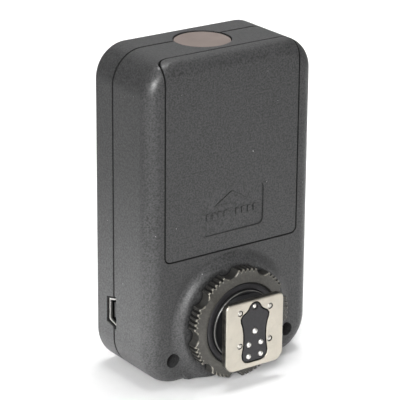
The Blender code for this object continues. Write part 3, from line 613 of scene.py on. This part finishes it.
def door_prism(grow, n=4):
    """What the door's outline takes in: straight sides, round lower corners and round corners on the lamp end."""
    x, z0, y1 = DOOR_X + grow, DOOR_Z0 - grow, DOOR_END_Y + grow
    plan = prism_y(rounded(-x, x, z0, 96, [1.5 + grow, 1.5 + grow, 0, 0], n), -14, y1)
    side = prism_z(rounded(-x, x, -16, y1, [0, 0, 2.4, 2.4], n), 20, 98)
    return meet(plan, side)


# ------------------------------------------------------------------ door-side case


def boss_flank(steps=20):
    """The seat's side: hollow at the foot, rounded at the shoulder."""
    pts = []
    for i in range(steps + 1):
        f = i / steps
        g = f**1.35
        pts.append((BOSS_BASE_R + (BOSS_R - BOSS_BASE_R) * f, YF + 0.02 + (BOSS_Y - YF - 0.02) * g * g * (3 - 2 * g)))
    return pts


def foot_boss(n=64):
    """The raised round seat under the locking wheel, trimmed to the case's outline."""
    profile = [
        (0, YF + 0.9),
        (BOSS_BASE_R + 0.6, YF + 0.9),
        *boss_flank(),
        (0, BOSS_Y),
    ]
    boss = turned(profile, "y", (0, FOOT_Z), n)
    return meet(boss, prism_y(case_outline(0.9, 20), -14, 0))


def cross_recess(axis, centre, a0, a1, size=0.95, width=0.38):
    c0, c1 = centre
    if axis == "y":
        return [
            box(c0 - size, c0 + size, a0, a1, c1 - width / 2, c1 + width / 2),
            box(c0 - width / 2, c0 + width / 2, a0, a1, c1 - size, c1 + size),
        ]
    raise ValueError(axis)


case = door_side_form(0, YS)
cut(case, door_side_form(WALL, YS + 2, steps=12))
join(case, foot_boss())
bay = box(-BAY_X - 1.2, BAY_X + 1.2, YF + 0.9, BAY_FLOOR + 1.2, BAY_Z0 - 1.2, BAY_Z1 + 0.9)
join(case, bay)
for sx in (-1, 1):
    join(case, cyl("y", (sx * 18.7, 7.6), 3.6, YF + 0.9, YS - 0.2, 20))
opening = door_prism(GAP)
cut(opening, door_side_form(DOOR_T + GAP, 30, steps=12))
cut(case, opening)
cut(case, box(-BAY_X, BAY_X, YF + 1.85, BAY_FLOOR, BAY_Z0, BAY_Z1))
for sx in (-1, 1):
    # notches that the door's tongues pass through as it draws off
    cut(case, box(sx * 15.1, sx * 18.8, -7.3, -4.9, 80, 92))
cut(case, cyl("y", (0, FOOT_Z), POST_R + 0.3, -14, -5, 32))
for sx in (-1, 1):
    cut(case, cyl("y", (sx * 18.72, 7.6), 1.95, -14, 2.0, 20))
    cut(case, cyl("y", (sx * 18.72, 7.6), 1.25, 0, 12, 12))
    cut(case, cyl("y", (sx * INNER_SCREW_X, INNER_SCREW_Z), 1.25, 7, 12, 12))
cut(case, cyl("z", (0, LAMP_Y), LAMP_R + 0.3, 86.9, 92, 32))
cut(case, box(-30, -23, YS - 0.75, YS + 3, USB_Z - 4.7, USB_Z + 4.7))
cut(case, box(-23.5, -17, YS - 0.75, YS + 3, USB_Z - 4.5, USB_Z + 4.5))
finish(case, "door_side_case", CASE)

# ------------------------------------------------------------------ battery door

door = door_side_form(0, YS)
cut(door, door_side_form(DOOR_T, YS + 3, steps=12))
meet(door, door_prism(0))
for sx in (-1, 1):
    # tongues that tuck under the case's lip below the door
    tongue = loft(
        [
            [(x, -6.9, 35.9), (x, -6.9, 39.0), (x, -5.2, 39.0), (x, -5.2, 32.8), (x, -6.1, 32.8), (x, -6.1, 35.9)]
            for x in ((sx * 15.4), (sx * 18.5))
        ]
    )
    join(door, tongue)


def mark_floor(x, z):
    """The marks' field is cut deepest at its lower +X corner and fades out towards the opposite one."""
    return YF + 0.03 + 0.4 * ((x + 10.2) / 20.4 * 0.55 + (52.3 - z) / 11.9 * 0.45)


frame_outline = rounded(-10.2, 10.2, 40.4, 52.3, 1.6)
cut(door, loft([[(x, -12, z) for x, z in frame_outline], [(x, mark_floor(x, z), z) for x, z in frame_outline]]))
MOAT_Y = YF + 0.24
# the direction arrow and the ribs stand in sunk fields
cut(door, prism_y([(-5.7, 48.3), (5.7, 48.3), (0, 51.9)], -12, MOAT_Y))
arrow = [(-5.0, 48.6), (0, 51.6), (5.0, 48.6), (3.9, 48.6), (0, 50.9), (-3.9, 48.6)]
join(door, prism_y(arrow, YF + 0.02, YF + 0.8))
head = [(-2.9, 48.6), (2.9, 48.6), (0, 50.35)]
join(door, prism_y(head, YF + 0.2, YF + 0.8))
for x0, x1 in ((-8.5, -1.6), (1.2, 8.1)):
    cut(door, box(x0, x1, -12, MOAT_Y, 44.4, 46.8))
for i in range(9):
    x = -7.7 + i * 1.9
    if i != 4:
        join(door, box(x - 0.5, x + 0.5, YF + 0.03, YF + 0.8, 44.7, 46.5))
finish(door, "battery_door", CASE, (0, -7.3, 62))

# ------------------------------------------------------------------ shoe-side case


def shoe_side_form(d, y_open, edge, y_flat, n=20, steps=8):
    rings = [ring_at(d, y_open, n), ring_at(d, y_flat - edge, n)]
    for i in range(1, steps + 1):
        t = math.radians(90 * i / steps)
        rings.append(ring_at(d + edge * (1 - math.cos(t)), y_flat - edge + edge * math.sin(t), n))
    return loft(rings)


top = shoe_side_form(0, YT, BACK_R, YB)
cut(top, shoe_side_form(WALL, YT - 2, 0.5, YB - WALL, steps=6))
lip = loop([ring_at(d, y) for d, y in ((WALL - 0.4, YT + 0.7), (WALL - 0.4, YT + 1.9), (WALL + 1.15, YT + 1.9), (WALL + 1.15, YS - 1.8), (WALL + 0.15, YS - 1.8), (WALL + 0.15, YT + 0.7))])
cut(lip, box(-9.4, 9.4, 0, 20, 80, 92), box(-30, -20, 0, 20, USB_Z - 4.8, USB_Z + 4.8), box(20, 30, 0, 20, 12.5, 22.5), box(20, 30, 0, 20, 40, 51))
for sx in (-1, 1):
    cut(lip, cyl("y", (sx * 18.7, 7.6), 3.95, 0, 20, 20))
join(top, lip)
join(top, box(-13, 13, YB - 3.7, YB - 1.2, 0.8, 28.2))
for x, z, r, y0 in ((18.7, 7.6, 3.3, 8.3), (INNER_SCREW_X, INNER_SCREW_Z, 3.0, 10.1)):
    for sx in (-1, 1):
        join(top, cyl("y", (sx * x, z), r, y0, YB - 1.2, 20))
        cut(top, cyl("y", (sx * x, z), 1.15, y0 - 1, YB - 2.7, 12))
join(top, prism_x([(15.5, 24.95), (18.1, 24.95), (18.6, 25.4), (18.6, 26.2), (18.1, 26.9), (15.5, 26.9)], -10.9, 10.9))
# seat of the shoe, its way in from the end, and the hole for its contact block
cut(top, box(-10.45, 10.45, SHOE_FLOOR - RAIL_T - 0.1, 22, SHOE_Z0 - 0.2, SHOE_Z1 + 0.25))
cut(top, box(-10.45, 10.45, SHOE_FLOOR - 0.1, 22, -2, SHOE_Z0 + 1))
cut(top, box(-5.7, 5.7, 12, 17, 6.95, 24.05))
for x in (-7.4, 7.4):
    for z in (9.6, 21.4):
        cut(top, cyl("y", (x, z), 0.75, 12, 17, 10))
# recess of the gloss panel, light guides, buttons
cut(top, prism_y(rounded(-19.6, 19.6, 39.4, 80.1, 3.1), YB - 0.5, 22))
for x in (-13, 13):
    for z in (44.5, 49.5, 54.5):
        cut(top, cyl("y", (x, z), 1.15, 14, 20, 12))
    cut(top, prism_y(rounded(x - 4.4, x + 4.4, 31.1, 35.9, 2.35), 14, 20))
cut(top, cyl("y", (0, 33.5), 1.5, 14, 20, 14))
# lamp, USB, sync socket and power switch
cut(top, cyl("z", (0, LAMP_Y), LAMP_R + 0.3, 86.0, 92, 32))
USB_CLEAR = [(YS - 1.0, USB_Z - 4.7), (11.85, USB_Z - 3.62), (11.85, USB_Z + 3.62), (YS - 1.0, USB_Z + 4.7)]
cut(top, prism_x(USB_CLEAR, -30, -20))
cut(top, cyl("x", (12.6, USB_Z), 3.6, 21, 30, 24))
cut(top, prism_x(rounded(10.6, 15.0, 41.1, 49.5, 0.8), 25.3, 30))
cut(top, box(22, 27, 12.0, 13.6, 42.6, 48.0))
finish(top, "shoe_side_case", CASE)

# ------------------------------------------------------------------ focus lamp

lamp = turned(
    [(0, 86.3), (8.4, 86.3), (8.4, 87.35), (LAMP_R, 87.35), (LAMP_R, 89.1), (LAMP_R - 0.3, 89.3), (0, 89.42)],
    "z", (0, LAMP_Y), 32,
)
cut(lamp, box(-10, 10, -4, LAMP_Y - 7.9, 80, 87.4), box(-10, 10, LAMP_Y + 7.9, 20, 80, 87.4))
finish(lamp, "lamp_window", WINDOW, (0, LAMP_Y, 88))
led = turned([(0, 79.2), (2.4, 79.2), (2.4, 83.2), (2.1, 84.2), (1.3, 84.9), (0, 85.2)], "z", (0, 12.9), 16)
finish(led, "focus_lamp_led", WINDOW, (0, 12.9, 80))

# ------------------------------------------------------------------ screws of the case


def screw(name, x, z, head_y0, head_h, head_r, shank_r, y_end, mat, n=12):
    """A pan-head screw along +Y whose head faces -Y."""
    s = turned(
        [(0, head_y0), (head_r * 0.75, head_y0), (head_r, head_y0 + head_h * 0.45), (head_r, head_y0 + head_h), (shank_r, head_y0 + head_h), (shank_r, y_end - 0.6), (shank_r * 0.4, y_end), (0, y_end)],
        "y", (x, z), n,
    )
    cut(s, *cross_recess("y", (x, z), head_y0 - 1, head_y0 + head_h * 0.6, head_r * 0.55, head_r * 0.2))
    return finish(s, name, mat, (x, head_y0, z))


screw("case_screw_1", -18.72, 7.6, 0.5, 1.4, 1.7, 1.0, 13.6, DARK_STEEL)
screw("case_screw_2", 18.72, 7.6, 0.5, 1.4, 1.7, 1.0, 13.6, DARK_STEEL)
screw("case_screw_3", -INNER_SCREW_X, INNER_SCREW_Z, 7.1, 1.4, 1.7, 1.0, 14.2, DARK_STEEL)
screw("case_screw_4", INNER_SCREW_X, INNER_SCREW_Z, 7.1, 1.4, 1.7, 1.0, 14.2, DARK_STEEL)

# ------------------------------------------------------------------ batteries and their contacts


def cell(name, x, z0, up, jacket):
    e0, e1 = (z0, z0 + CELL_L) if up else (z0 + CELL_L, z0)
    s = 1 if up else -1
    body = turned(
        [(0, e0), (4.6, e0), (6.9, e0 + 0.1 * s), (CELL_R, e0 + 0.4 * s), (CELL_R, e1 - 1.7 * s), (6.8, e1 - 1.25 * s), (2.75, e1 - 1.15 * s), (2.7, e1 - 0.15 * s), (2.4, e1), (0, e1)],
        "z", (x, CELL_Y), 20,
    )
    return finish(body, name, jacket, (x, CELL_Y, z0 + CELL_L / 2))


cell("battery_1", -CELL_X, 33.6, True, CELL)
cell("battery_2", CELL_X, 32.3, False, CELL_DOWN)


def coil(name, x, z0, z1, r0, r1, turns=2.4, wire=0.28, per_turn=24, sides=10):
    """A conical contact spring: the wire is swept along a coil that narrows towards the cell."""
    count = int(turns * per_turn)
    rings = []
    for i in range(count + 1):
        f = i / count
        t = 2 * math.pi * turns * f
        r = r0 + (r1 - r0) * f
        z = z0 + (z1 - z0) * f
        out = Vector((math.cos(t), math.sin(t), 0))
        centre = Vector((x, CELL_Y, z)) + out * r
        rings.append([centre + (out * math.cos(a) + Vector((0, 0, 1)) * math.sin(a)) * wire for a in [2 * math.pi * k / sides for k in range(sides)]])
    return finish(loft(rings), name, STEEL, (x, CELL_Y, z0))


coil("battery_spring_1", -CELL_X, 31.95, 33.2, 5.2, 2.6)
coil("battery_spring_2", CELL_X, 84.45, 83.2, 5.2, 2.6)
for name, x, z0 in (("battery_contact_1", -CELL_X, 84.2), ("battery_contact_2", CELL_X, 31.75)):
    plate = prism_z(rounded(x - 5.5, x + 5.5, CELL_Y - 5.5, CELL_Y + 5.5, 1.5, 3), z0, z0 + 0.4)
    finish(plate, name, STEEL, (x, CELL_Y, z0))

# ------------------------------------------------------------------ circuit boards and what is on them

board = box(-21, 21, BOARD_Y0, BOARD_Y1, 12.2, 78.5)
finish(board, "main_board", BOARD, (0, 12.1, 45))
finish(box(-9, 9, 12.75, 14.6, 60, 74), "radio_module", STEEL, (0, 13.6, 67))
finish(box(-4.5, 4.5, 12.75, 13.9, 44.5, 53.5), "processor_chip", CHIP, (0, 13.3, 49))
foot_board = box(-8, 8, -2.6, -1.5, 5.6, 26.0)
finish(foot_board, "foot_board", BOARD, (0, -2, 15.6))
ribbon = loft(
    [
        [(x, -1.35, 22.0), (x, -1.35, 28.6), (x, 11.35, 28.6), (x, 11.35, 27.2), (x, 11.15, 27.2), (x, 11.15, 28.4), (x, -1.15, 28.4), (x, -1.15, 22.0)]
        for x in (-4.0, 4.0)
    ]
)
finish(ribbon, "foot_ribbon", RIBBON, (0, -1.2, 28.5))

# ------------------------------------------------------------------ mini USB socket

USB_OUT = [(YS - 0.4, USB_Z - 4.05), (11.3, USB_Z - 3.12), (11.3, USB_Z + 3.12), (YS - 0.4, USB_Z + 4.05)]
USB_IN = [(YS + 0.05, USB_Z - 3.5), (10.85, USB_Z - 2.66), (10.85, USB_Z + 2.66), (YS + 0.05, USB_Z + 3.5)]
usb = prism_x(USB_OUT, USB_X, -17.6)
cut(usb, prism_x(USB_IN, USB_X - 2, -18.1))
finish(usb, "usb_socket_shell", USB_METAL, (USB_X, 9.5, USB_Z))
tongue = box(-25.2, -18.4, 9.2, 10.0, USB_Z - 2.1, USB_Z + 2.1)
join(tongue, box(-20.4, -18.4, 8.4, 10.6, USB_Z - 2.4, USB_Z + 2.4))
finish(tongue, "usb_socket_tongue", BLACK, (-25, 9.7, USB_Z))

# ------------------------------------------------------------------ flash sync socket

ring = turned([(0, 22.0), (3.3, 22.0), (3.3, 25.9), (3.45, 26.1), (3.45, 26.45), (2.55, 26.45), (2.55, 23.0), (0, 23.0)], "x", (12.6, USB_Z), 24)
finish(ring, "sync_socket_ring", NICKEL, (26, 12.6, USB_Z))
core = turned([(0, 23.1), (1.75, 23.1), (1.75, 26.0), (0.6, 26.0), (0.6, 24.0), (0, 24.0)], "x", (12.6, USB_Z), 16)
finish(core, "sync_socket_core", GOLD, (26, 12.6, USB_Z))

# ------------------------------------------------------------------ power switch

body = box(21.6, 24.4, 10.9, 14.7, 41.0, 50.6)
cut(body, box(22.6, 25, 12.0, 13.6, 42.4, 48.4))
finish(body, "power_switch_body", STEEL, (23, 12.8, 45.8))
knob = prism_x(rounded(11.0, 14.6, 41.6, 46.0, 0.5, 2), 25.45, 26.05)
join(knob, box(23.0, 25.6, 12.15, 13.45, 42.9, 44.7))
for i in range(4):
    z = 42.2 + i * 0.95
    join(knob, box(25.9, 26.45, 11.25, 14.35, z, z + 0.45))
finish(knob, "power_switch_knob", BLACK, (26, 12.8, 43.8))

# ------------------------------------------------------------------ buttons, their switches and the lights

for name, x in (("channel", -13.0), ("group", 13.0)):
    tact = box(x - 3, x + 3, 12.75, 13.9, 30.5, 36.5)
    join(tact, cyl("y", (x, 33.5), 1.5, 13.5, 13.97, 14))
    finish(tact, name + "_switch", STEEL, (x, 13.3, 33.5))
    cap = prism_y(rounded(x - 4.15, x + 4.15, 31.35, 35.65, 2.1), 15.2, 17.75)
    crown = prism_y(rounded(x - 3.75, x + 3.75, 31.75, 35.25, 1.7), 17.5, 18.0)
    flange = prism_y(rounded(x - 4.9, x + 4.9, 30.6, 36.4, 2.4), 14.5, 15.35)
    join(cap, crown, flange)
    finish(cap, name + "_button", BLACK, (x, 15.5, 33.5))
    guide = box(x - 1.0, x + 1.0, 13.4, 14.4, 43.3, 55.7)
    for z in (44.5, 49.5, 54.5):
        join(guide, cyl("y", (x, z), 0.95, 14.0, 17.25, 12))
    finish(guide, name + "_light_guide", CLEAR, (x, 15, 49.5))
status = turned([(0, 12.75), (1.3, 12.75), (1.3, 16.9), (1.0, 17.25), (0, 17.35)], "y", (0, 33.5), 14)
finish(status, "status_light", CLEAR, (0, 15, 33.5))
panel = prism_y(rounded(-19.4, 19.4, 39.6, 79.9, 2.9), YB - 0.45, YB - 0.03)
for x in (-13, 13):
    for z in (44.5, 49.5, 54.5):
        cut(panel, cyl("y", (x, z), 1.15, 14, 20, 12))
finish(panel, "front_panel", PANEL, (0, YB, 60))

# ------------------------------------------------------------------ flash shoe

w = 10.2
profile = [(-w, SHOE_FLOOR - RAIL_T), (w, SHOE_FLOOR - RAIL_T), (w, SHOE_TOP), (6.3, SHOE_TOP), (6.3, SHOE_TOP - RAIL_T), (9.4, SHOE_TOP - RAIL_T), (9.4, SHOE_FLOOR), (-9.4, SHOE_FLOOR), (-9.4, SHOE_TOP - RAIL_T), (-6.3, SHOE_TOP - RAIL_T), (-6.3, SHOE_TOP), (-w, SHOE_TOP)]
clip = prism_z(profile, SHOE_Z0, SHOE_Z1)
cut(clip, prism_y(rounded(-4.6, 4.6, 7.15, 23.45, 1.0, 2), 14, 17.5))
for x in (-7.4, 7.4):
    for z in (9.6, 21.4):
        cut(clip, cyl("y", (x, z), 0.75, 14, 17.5, 12), cyl("y", (x, z), 1.35, 16.15, 17.5, 16))
finish(clip, "shoe_clip", NICKEL, (0, 17, 15.6))
block = prism_y(rounded(-4.45, 4.45, 7.3, 23.3, 0.9, 2), 14.0, SHOE_FLOOR - 0.05)
join(block, box(-5.6, 5.6, 13.8, 15.75, 7.05, 23.95))
spots = [(0, FOOT_Z, 1.5), (-PIN_X, PIN_ROW1, 0.85), (PIN_X, PIN_ROW1, 0.85), (-PIN_X, PIN_ROW2, 0.85), (PIN_X, PIN_ROW2, 0.85)]
for x, z, r in spots:
    cut(block, cyl("y", (x, z), r + 0.12, 16.2, 18, 10), cyl("y", (x, z), 0.52, 12, 18, 8))
cut(block, cyl("y", (0, LOCK_Z - 0.1), 0.8, 14.5, 18, 12))
finish(block, "shoe_contact_block", BLACK, (0, 15, 15.6))
for i, (x, z, r) in enumerate(spots):
    contact = turned([(0, 12.8), (0.4, 12.8), (0.4, 16.3), (r, 16.3), (r, 16.65), (r - 0.15, 16.75), (0, 16.75)], "y", (x, z), 10)
    finish(contact, "shoe_contact_centre" if i == 0 else f"shoe_contact_{i}", GOLD, (x, 16.5, z))
for i, (x, z) in enumerate(((-7.4, 9.6), (7.4, 9.6), (-7.4, 21.4), (7.4, 21.4))):
    s = turned([(0, 14.0), (0.6, 14.0), (0.6, 16.2), (1.2, 16.2), (1.2, 16.4), (0.9, 16.6), (0, 16.6)], "y", (x, z), 10)
    finish(s, f"shoe_screw_{i + 1}", STEEL, (x, 16.4, z))

# ------------------------------------------------------------------ foot

post = turned(
    [(0, -4.6), (12.5, -4.6), (12.5, -6.15), (POST_R, -6.15), (POST_R, -13.9), (POST_R - 0.2, -14.1), (POST_R - 0.65, -14.1), (POST_R - 0.65, -12.4), (0, -12.4)],
    "y", (0, FOOT_Z), 32,
)
join(post, prism_y(rounded(-6.1, 6.1, FOOT_Z - 8.5, FOOT_Z + 8.5, 3.6, 3), -16.7, -12.0))
cut(post, box(-3.4, 3.4, -20, 0, FOOT_Z - 8.1, FOOT_Z + 8.1))
cut(post, box(-20, 20, -6.5, -4, 0, 4.4))
for x, z in STUDS:
    cut(post, cyl("y", (x, z), 0.9, -20, 0, 12))
finish(post, "foot_post", POST, (0, -10, FOOT_Z))

half = PLATE_W / 2
plate_outline = [(-half, PLATE_Z0 + 2.1), (-half + 0.35, PLATE_Z0 + 1.35), (-half + 1.4, PLATE_Z0 + 0.3), (-half + 2.2, PLATE_Z0), (half - 2.2, PLATE_Z0), (half - 1.4, PLATE_Z0 + 0.3), (half - 0.35, PLATE_Z0 + 1.35), (half, PLATE_Z0 + 2.1)]
for cx, start in ((half - 1.3, 0), (-half + 1.3, 90)):
    for i in range(5):
        t = math.radians(start + 22.5 * i)
        plate_outline.append((cx + 1.3 * math.cos(t), PLATE_Z1 - 1.3 + 1.3 * math.sin(t)))
INSERT_HALF = [(0.0, 23.7), (0.8, 23.5), (1.45, 22.9), (2.0, 21.9), (2.75, 21.2), (3.9, 20.6), (4.4, 19.8), (4.3, 18.9), (3.75, 17.3), (3.45, 15.2), (3.45, 12.6), (3.7, 10.8), (3.95, 9.3), (3.75, 8.2), (3.1, 7.45), (2.1, 7.15), (0.0, 7.15)]


def insert_outline(grow):
    """The contact block's outline in the plate: a lobe round the locking pin, shoulders and a slimmer lower part."""
    cx, cz = 0.0, 15.4
    right = []
    for i, (x, z) in enumerate(INSERT_HALF):
        a = INSERT_HALF[max(i - 1, 0)]
        b = INSERT_HALF[min(i + 1, len(INSERT_HALF) - 1)]
        tx, tz = b[0] - a[0], b[1] - a[1]
        length = math.hypot(tx, tz)
        nx, nz = -tz / length, tx / length
        if i in (0, len(INSERT_HALF) - 1):
            nx, nz = 0.0, 1.0 if i == 0 else -1.0
        right.append((x + nx * grow if i not in (0, len(INSERT_HALF) - 1) else 0.0, z + nz * grow))
    left = [(-x, z) for x, z in reversed(right[1:-1])]
    return right + left


plate_rings = []
for inset, y in ((0.25, PLATE_FRONT + PLATE_T), (0.07, PLATE_FRONT + PLATE_T - 0.1), (0.0, PLATE_FRONT + PLATE_T - 0.3), (0.0, PLATE_FRONT + 0.4), (0.05, PLATE_FRONT + 0.2), (0.17, PLATE_FRONT + 0.06), (0.35, PLATE_FRONT)):
    k = len(plate_outline)
    cz = (PLATE_Z0 + PLATE_Z1) / 2
    hz = (PLATE_Z1 - PLATE_Z0) / 2
    plate_rings.append([(x * (half - inset) / half, y, cz + (z - cz) * (hz - inset) / hz) for x, z in plate_outline])
plate = loft(plate_rings)
cut(plate, loft([[(x, y, z) for x, z in insert_outline(g)] for g, y in ((0.3, -15), (0.3, PLATE_FRONT + 0.2), (0.33, PLATE_FRONT + 0.07), (0.42, PLATE_FRONT), (0.9, PLATE_FRONT - 0.5))]))
for x, z in STUDS:
    cut(plate, cyl("y", (x, z), 0.85, -22, -15, 14))
finish(plate, "foot_plate", PLATE, (0, -18, 15))

insert = prism_y(insert_outline(-0.1), PLATE_FRONT + 0.06, -16.85)
join(insert, box(-3.3, 3.3, -16.95, -6.9, FOOT_Z - 8.0, FOOT_Z + 8.0))
PINS = [("centre", 0, FOOT_Z, 0.8), ("1", -PIN_X, PIN_ROW1, 0.74), ("2", PIN_X, PIN_ROW1, 0.74), ("3", -PIN_X, PIN_ROW2, 0.74), ("4", PIN_X, PIN_ROW2, 0.74)]
for _, x, z, r in PINS:
    cut(insert, cyl("y", (x, z), r + 0.12, -22, 0, 10))
cut(insert, cyl("y", (0, LOCK_Z), 0.87, -22, 0, 10))
finish(insert, "foot_contact_block", BLACK, (0, -12, FOOT_Z))

for tag, x, z, r in PINS:
    pin = turned(
        [(0, PIN_TIP)] + [(r * math.sin(math.radians(t)), PIN_TIP + 0.6 * (1 - math.cos(math.radians(t)))) for t in range(10, 91, 10)] + [ (r, -6.6), (1.1, -6.6), (1.1, -6.1), (0.45, -6.1), (0.45, -3.5), (0, -3.5)],
        "y", (x, z), 10,
    )
    finish(pin, "contact_pin_" + tag, PIN, (x, -18, z))
lock = turned([(0, -18.75), (0.45, -18.72), (0.75, -18.4), (0.75, -5.0), (0.95, -5.0), (0.95, -4.3), (0, -4.3)], "y", (0, LOCK_Z), 10)
finish(lock, "locking_pin", PIN, (0, -18, LOCK_Z))
for i, (x, z) in enumerate(STUDS):
    s = turned([(0, -3.5), (1.15, -3.5), (1.45, -3.85), (1.45, -4.5), (0.74, -4.5), (0.74, -18.72), (0.66, -18.84), (0.5, -18.92), (0.28, -18.97), (0, -18.98)], "y", (x, z), 10)
    finish(s, f"foot_screw_{i + 1}", STUD, (x, -10, z))

# ------------------------------------------------------------------ locking wheel and its clamp ring


def wheel_outline(r_out, scallop_steps=14):
    """Nine finger scallops with four small grooves between each pair."""
    scallop_r, centre_r = 2.5, r_out * math.cos(math.radians(7.9)) + 1.15
    pts = []
    for k in range(9):
        mid = math.radians(63.5 + 40 * k)
        c = Vector((centre_r * math.cos(mid), centre_r * math.sin(mid)))
        reach = math.acos((centre_r**2 + scallop_r**2 - r_out**2) / (2 * centre_r * scallop_r))
        for i in range(scallop_steps + 1):
            a = mid + math.pi + reach - 2 * reach * i / scallop_steps
            pts.append((c.x + scallop_r * math.cos(a), c.y + scallop_r * math.sin(a)))
        edge = math.degrees(math.acos((r_out**2 + centre_r**2 - scallop_r**2) / (2 * r_out * centre_r)))
        span = 40 - 2 * edge
        groove = span * 0.135
        land = (span - 4 * groove) / 5
        for g in range(4):
            start = edge + land * (g + 1) + groove * g
            for f, depth in ((0.0, 0.0), (0.12, 0.3), (0.3, 0.62), (0.5, 0.72), (0.7, 0.62), (0.88, 0.3), (1.0, 0.0)):
                a = mid + math.radians(start + groove * f)
                pts.append(((r_out - depth) * math.cos(a), (r_out - depth) * math.sin(a)))
    return pts


def wheel_ring(r_out, y):
    return [(x, y, FOOT_Z + z) for x, z in wheel_outline(r_out)]


wheel = loft([wheel_ring(WHEEL_R - 0.15, WHEEL_BACK), wheel_ring(WHEEL_R, WHEEL_BACK - 0.15), wheel_ring(WHEEL_R, WHEEL_RIM + 0.4), wheel_ring(WHEEL_R - 0.1, WHEEL_RIM + 0.15), wheel_ring(WHEEL_R - 0.32, WHEEL_RIM)])
crown = turned([(0, -11.5), (14.0, -11.5), (14.0, WHEEL_RIM + 0.02), (12.5, WHEEL_LIP + 0.05), (12.0, WHEEL_LIP), (0, WHEEL_LIP)], "y", (0, FOOT_Z), 36)
join(wheel, crown)
hollow = turned([(0, -16), (12.1, -16), (11.75, WHEEL_LIP + 0.3), (11.5, -12.5), (POST_R + 0.2, -12.5), (POST_R + 0.2, -8), (0, -8)], "y", (0, FOOT_Z), 36)
cut(wheel, hollow)
finish(wheel, "lock_wheel", WHEEL, (0, -11.5, FOOT_Z), 28)
ring = turned([(0, -12.6), (11.2, -12.6), (11.2, -13.05), (10.6, -13.3), (10.0, -13.35), (0, -13.35)], "y", (0, FOOT_Z), 32)
cut(ring, cyl("y", (0, FOOT_Z), POST_R + 0.25, -20, 0, 32))
finish(ring, "clamp_ring", BLACK, (0, -13, FOOT_Z))

# ------------------------------------------------------------------ floor, light and camera


def floor_material():
    m = Nodes("floor_paper", 0.8, specular=0.1)
    fine = m.noise(4.0, 3.0)
    m.colour(m.mix(m.spread(fine, 0, 1), (0.93, 0.93, 0.93), (0.95, 0.95, 0.95)))
    return m.mat


bm = bmesh.new()
bmesh.ops.create_grid(bm, x_segments=1, y_segments=1, size=6.0)
floor_mesh = bpy.data.meshes.new("floor")
bm.to_mesh(floor_mesh)
bm.free()
floor = bpy.data.objects.new("floor", floor_mesh)
floor_mesh.materials.append(floor_material())
bpy.context.scene.collection.objects.link(floor)

world = bpy.data.worlds.new("studio")
world.use_nodes = True
world.node_tree.nodes["Background"].inputs["Color"].default_value = (1, 1, 1, 1)
world.node_tree.nodes["Background"].inputs["Strength"].default_value = 0.2
bpy.context.scene.world = world


def softbox(name, place, aim, size, watts, glossy=True, diffuse=True, spread=180):
    light = bpy.data.lights.new(name, "AREA")
    light.shape = "RECTANGLE"
    light.size, light.size_y = size
    light.energy = watts
    light.spread = math.radians(spread)
    obj = bpy.data.objects.new(name, light)
    obj.location = place
    obj.rotation_euler = (Vector(aim) - Vector(place)).to_track_quat("-Z", "Y").to_euler()
    obj.visible_camera = False
    obj.visible_glossy = glossy
    obj.visible_diffuse = diffuse
    bpy.context.scene.collection.objects.link(obj)


softbox("key", (-0.604, -0.666, 0.437), (-0.02, -0.01, 0.085), (0.26, 0.26), 8.8)
softbox("key_sheen", (-0.604, -0.666, 0.437), (-0.02, -0.01, 0.085), (0.2, 0.2), 3.0, diffuse=False)
softbox("front_fill", (0.5, -0.6, 0.2), (0, 0, 0.03), (0.3, 0.3), 0.05, glossy=False)
softbox("low_left", (-0.2, 0.01, 0.004), (-0.03, 0.0, 0.006), (0.06, 0.03), 0.035, glossy=False, spread=30)
softbox("overhead", (0.06, 0.06, 0.9), (0.06, 0.06, 0.0), (0.3, 0.3), 0.33, spread=40)
softbox("rear", (0.5, 0.75, 0.35), (0, 0, 0.05), (0.4, 0.4), 0.42)
softbox("floor_back", (0.22, 0.42, 0.6), (0.2, 0.38, 0.0), (0.3, 0.3), 0.22, glossy=False, spread=55)
softbox("floor_right", (0.28, 0.3, 0.6), (0.24, 0.2, 0.0), (0.3, 0.3), 0.3, glossy=False, spread=45)
softbox("floor_near", (0.5, -0.05, 0.26), (0.1, 0.01, 0.0), (0.15, 0.15), 0.035, glossy=False, spread=35)
bpy.context.scene.view_settings.view_transform = "Standard"

azimuth, elevation, roll = math.radians(-35.30), math.radians(20.30), math.radians(0.45)
back = Vector((math.sin(azimuth) * math.cos(elevation), -math.cos(azimuth) * math.cos(elevation), math.sin(elevation)))
target = Vector((-0.88, 5.3, 45.07)) * 0.001
right = (-back).cross(Vector((0, 0, 1))).normalized()
up = right.cross(-back)
right, up = right * math.cos(roll) + up * math.sin(roll), up * math.cos(roll) - right * math.sin(roll)
camera_data = bpy.data.cameras.new("camera")
camera_data.sensor_width = 36.0
camera_data.lens = 2190.1 * 36.0 / 400.0
camera_data.clip_start, camera_data.clip_end = 0.01, 50.0
camera = bpy.data.objects.new("camera", camera_data)
camera.matrix_world = Matrix(((right.x, up.x, back.x, 0), (right.y, up.y, back.y, 0), (right.z, up.z, back.z, 0), (0, 0, 0, 1)))
camera.location = target + back * 0.58477
bpy.context.scene.collection.objects.link(camera)
bpy.context.scene.camera = camera
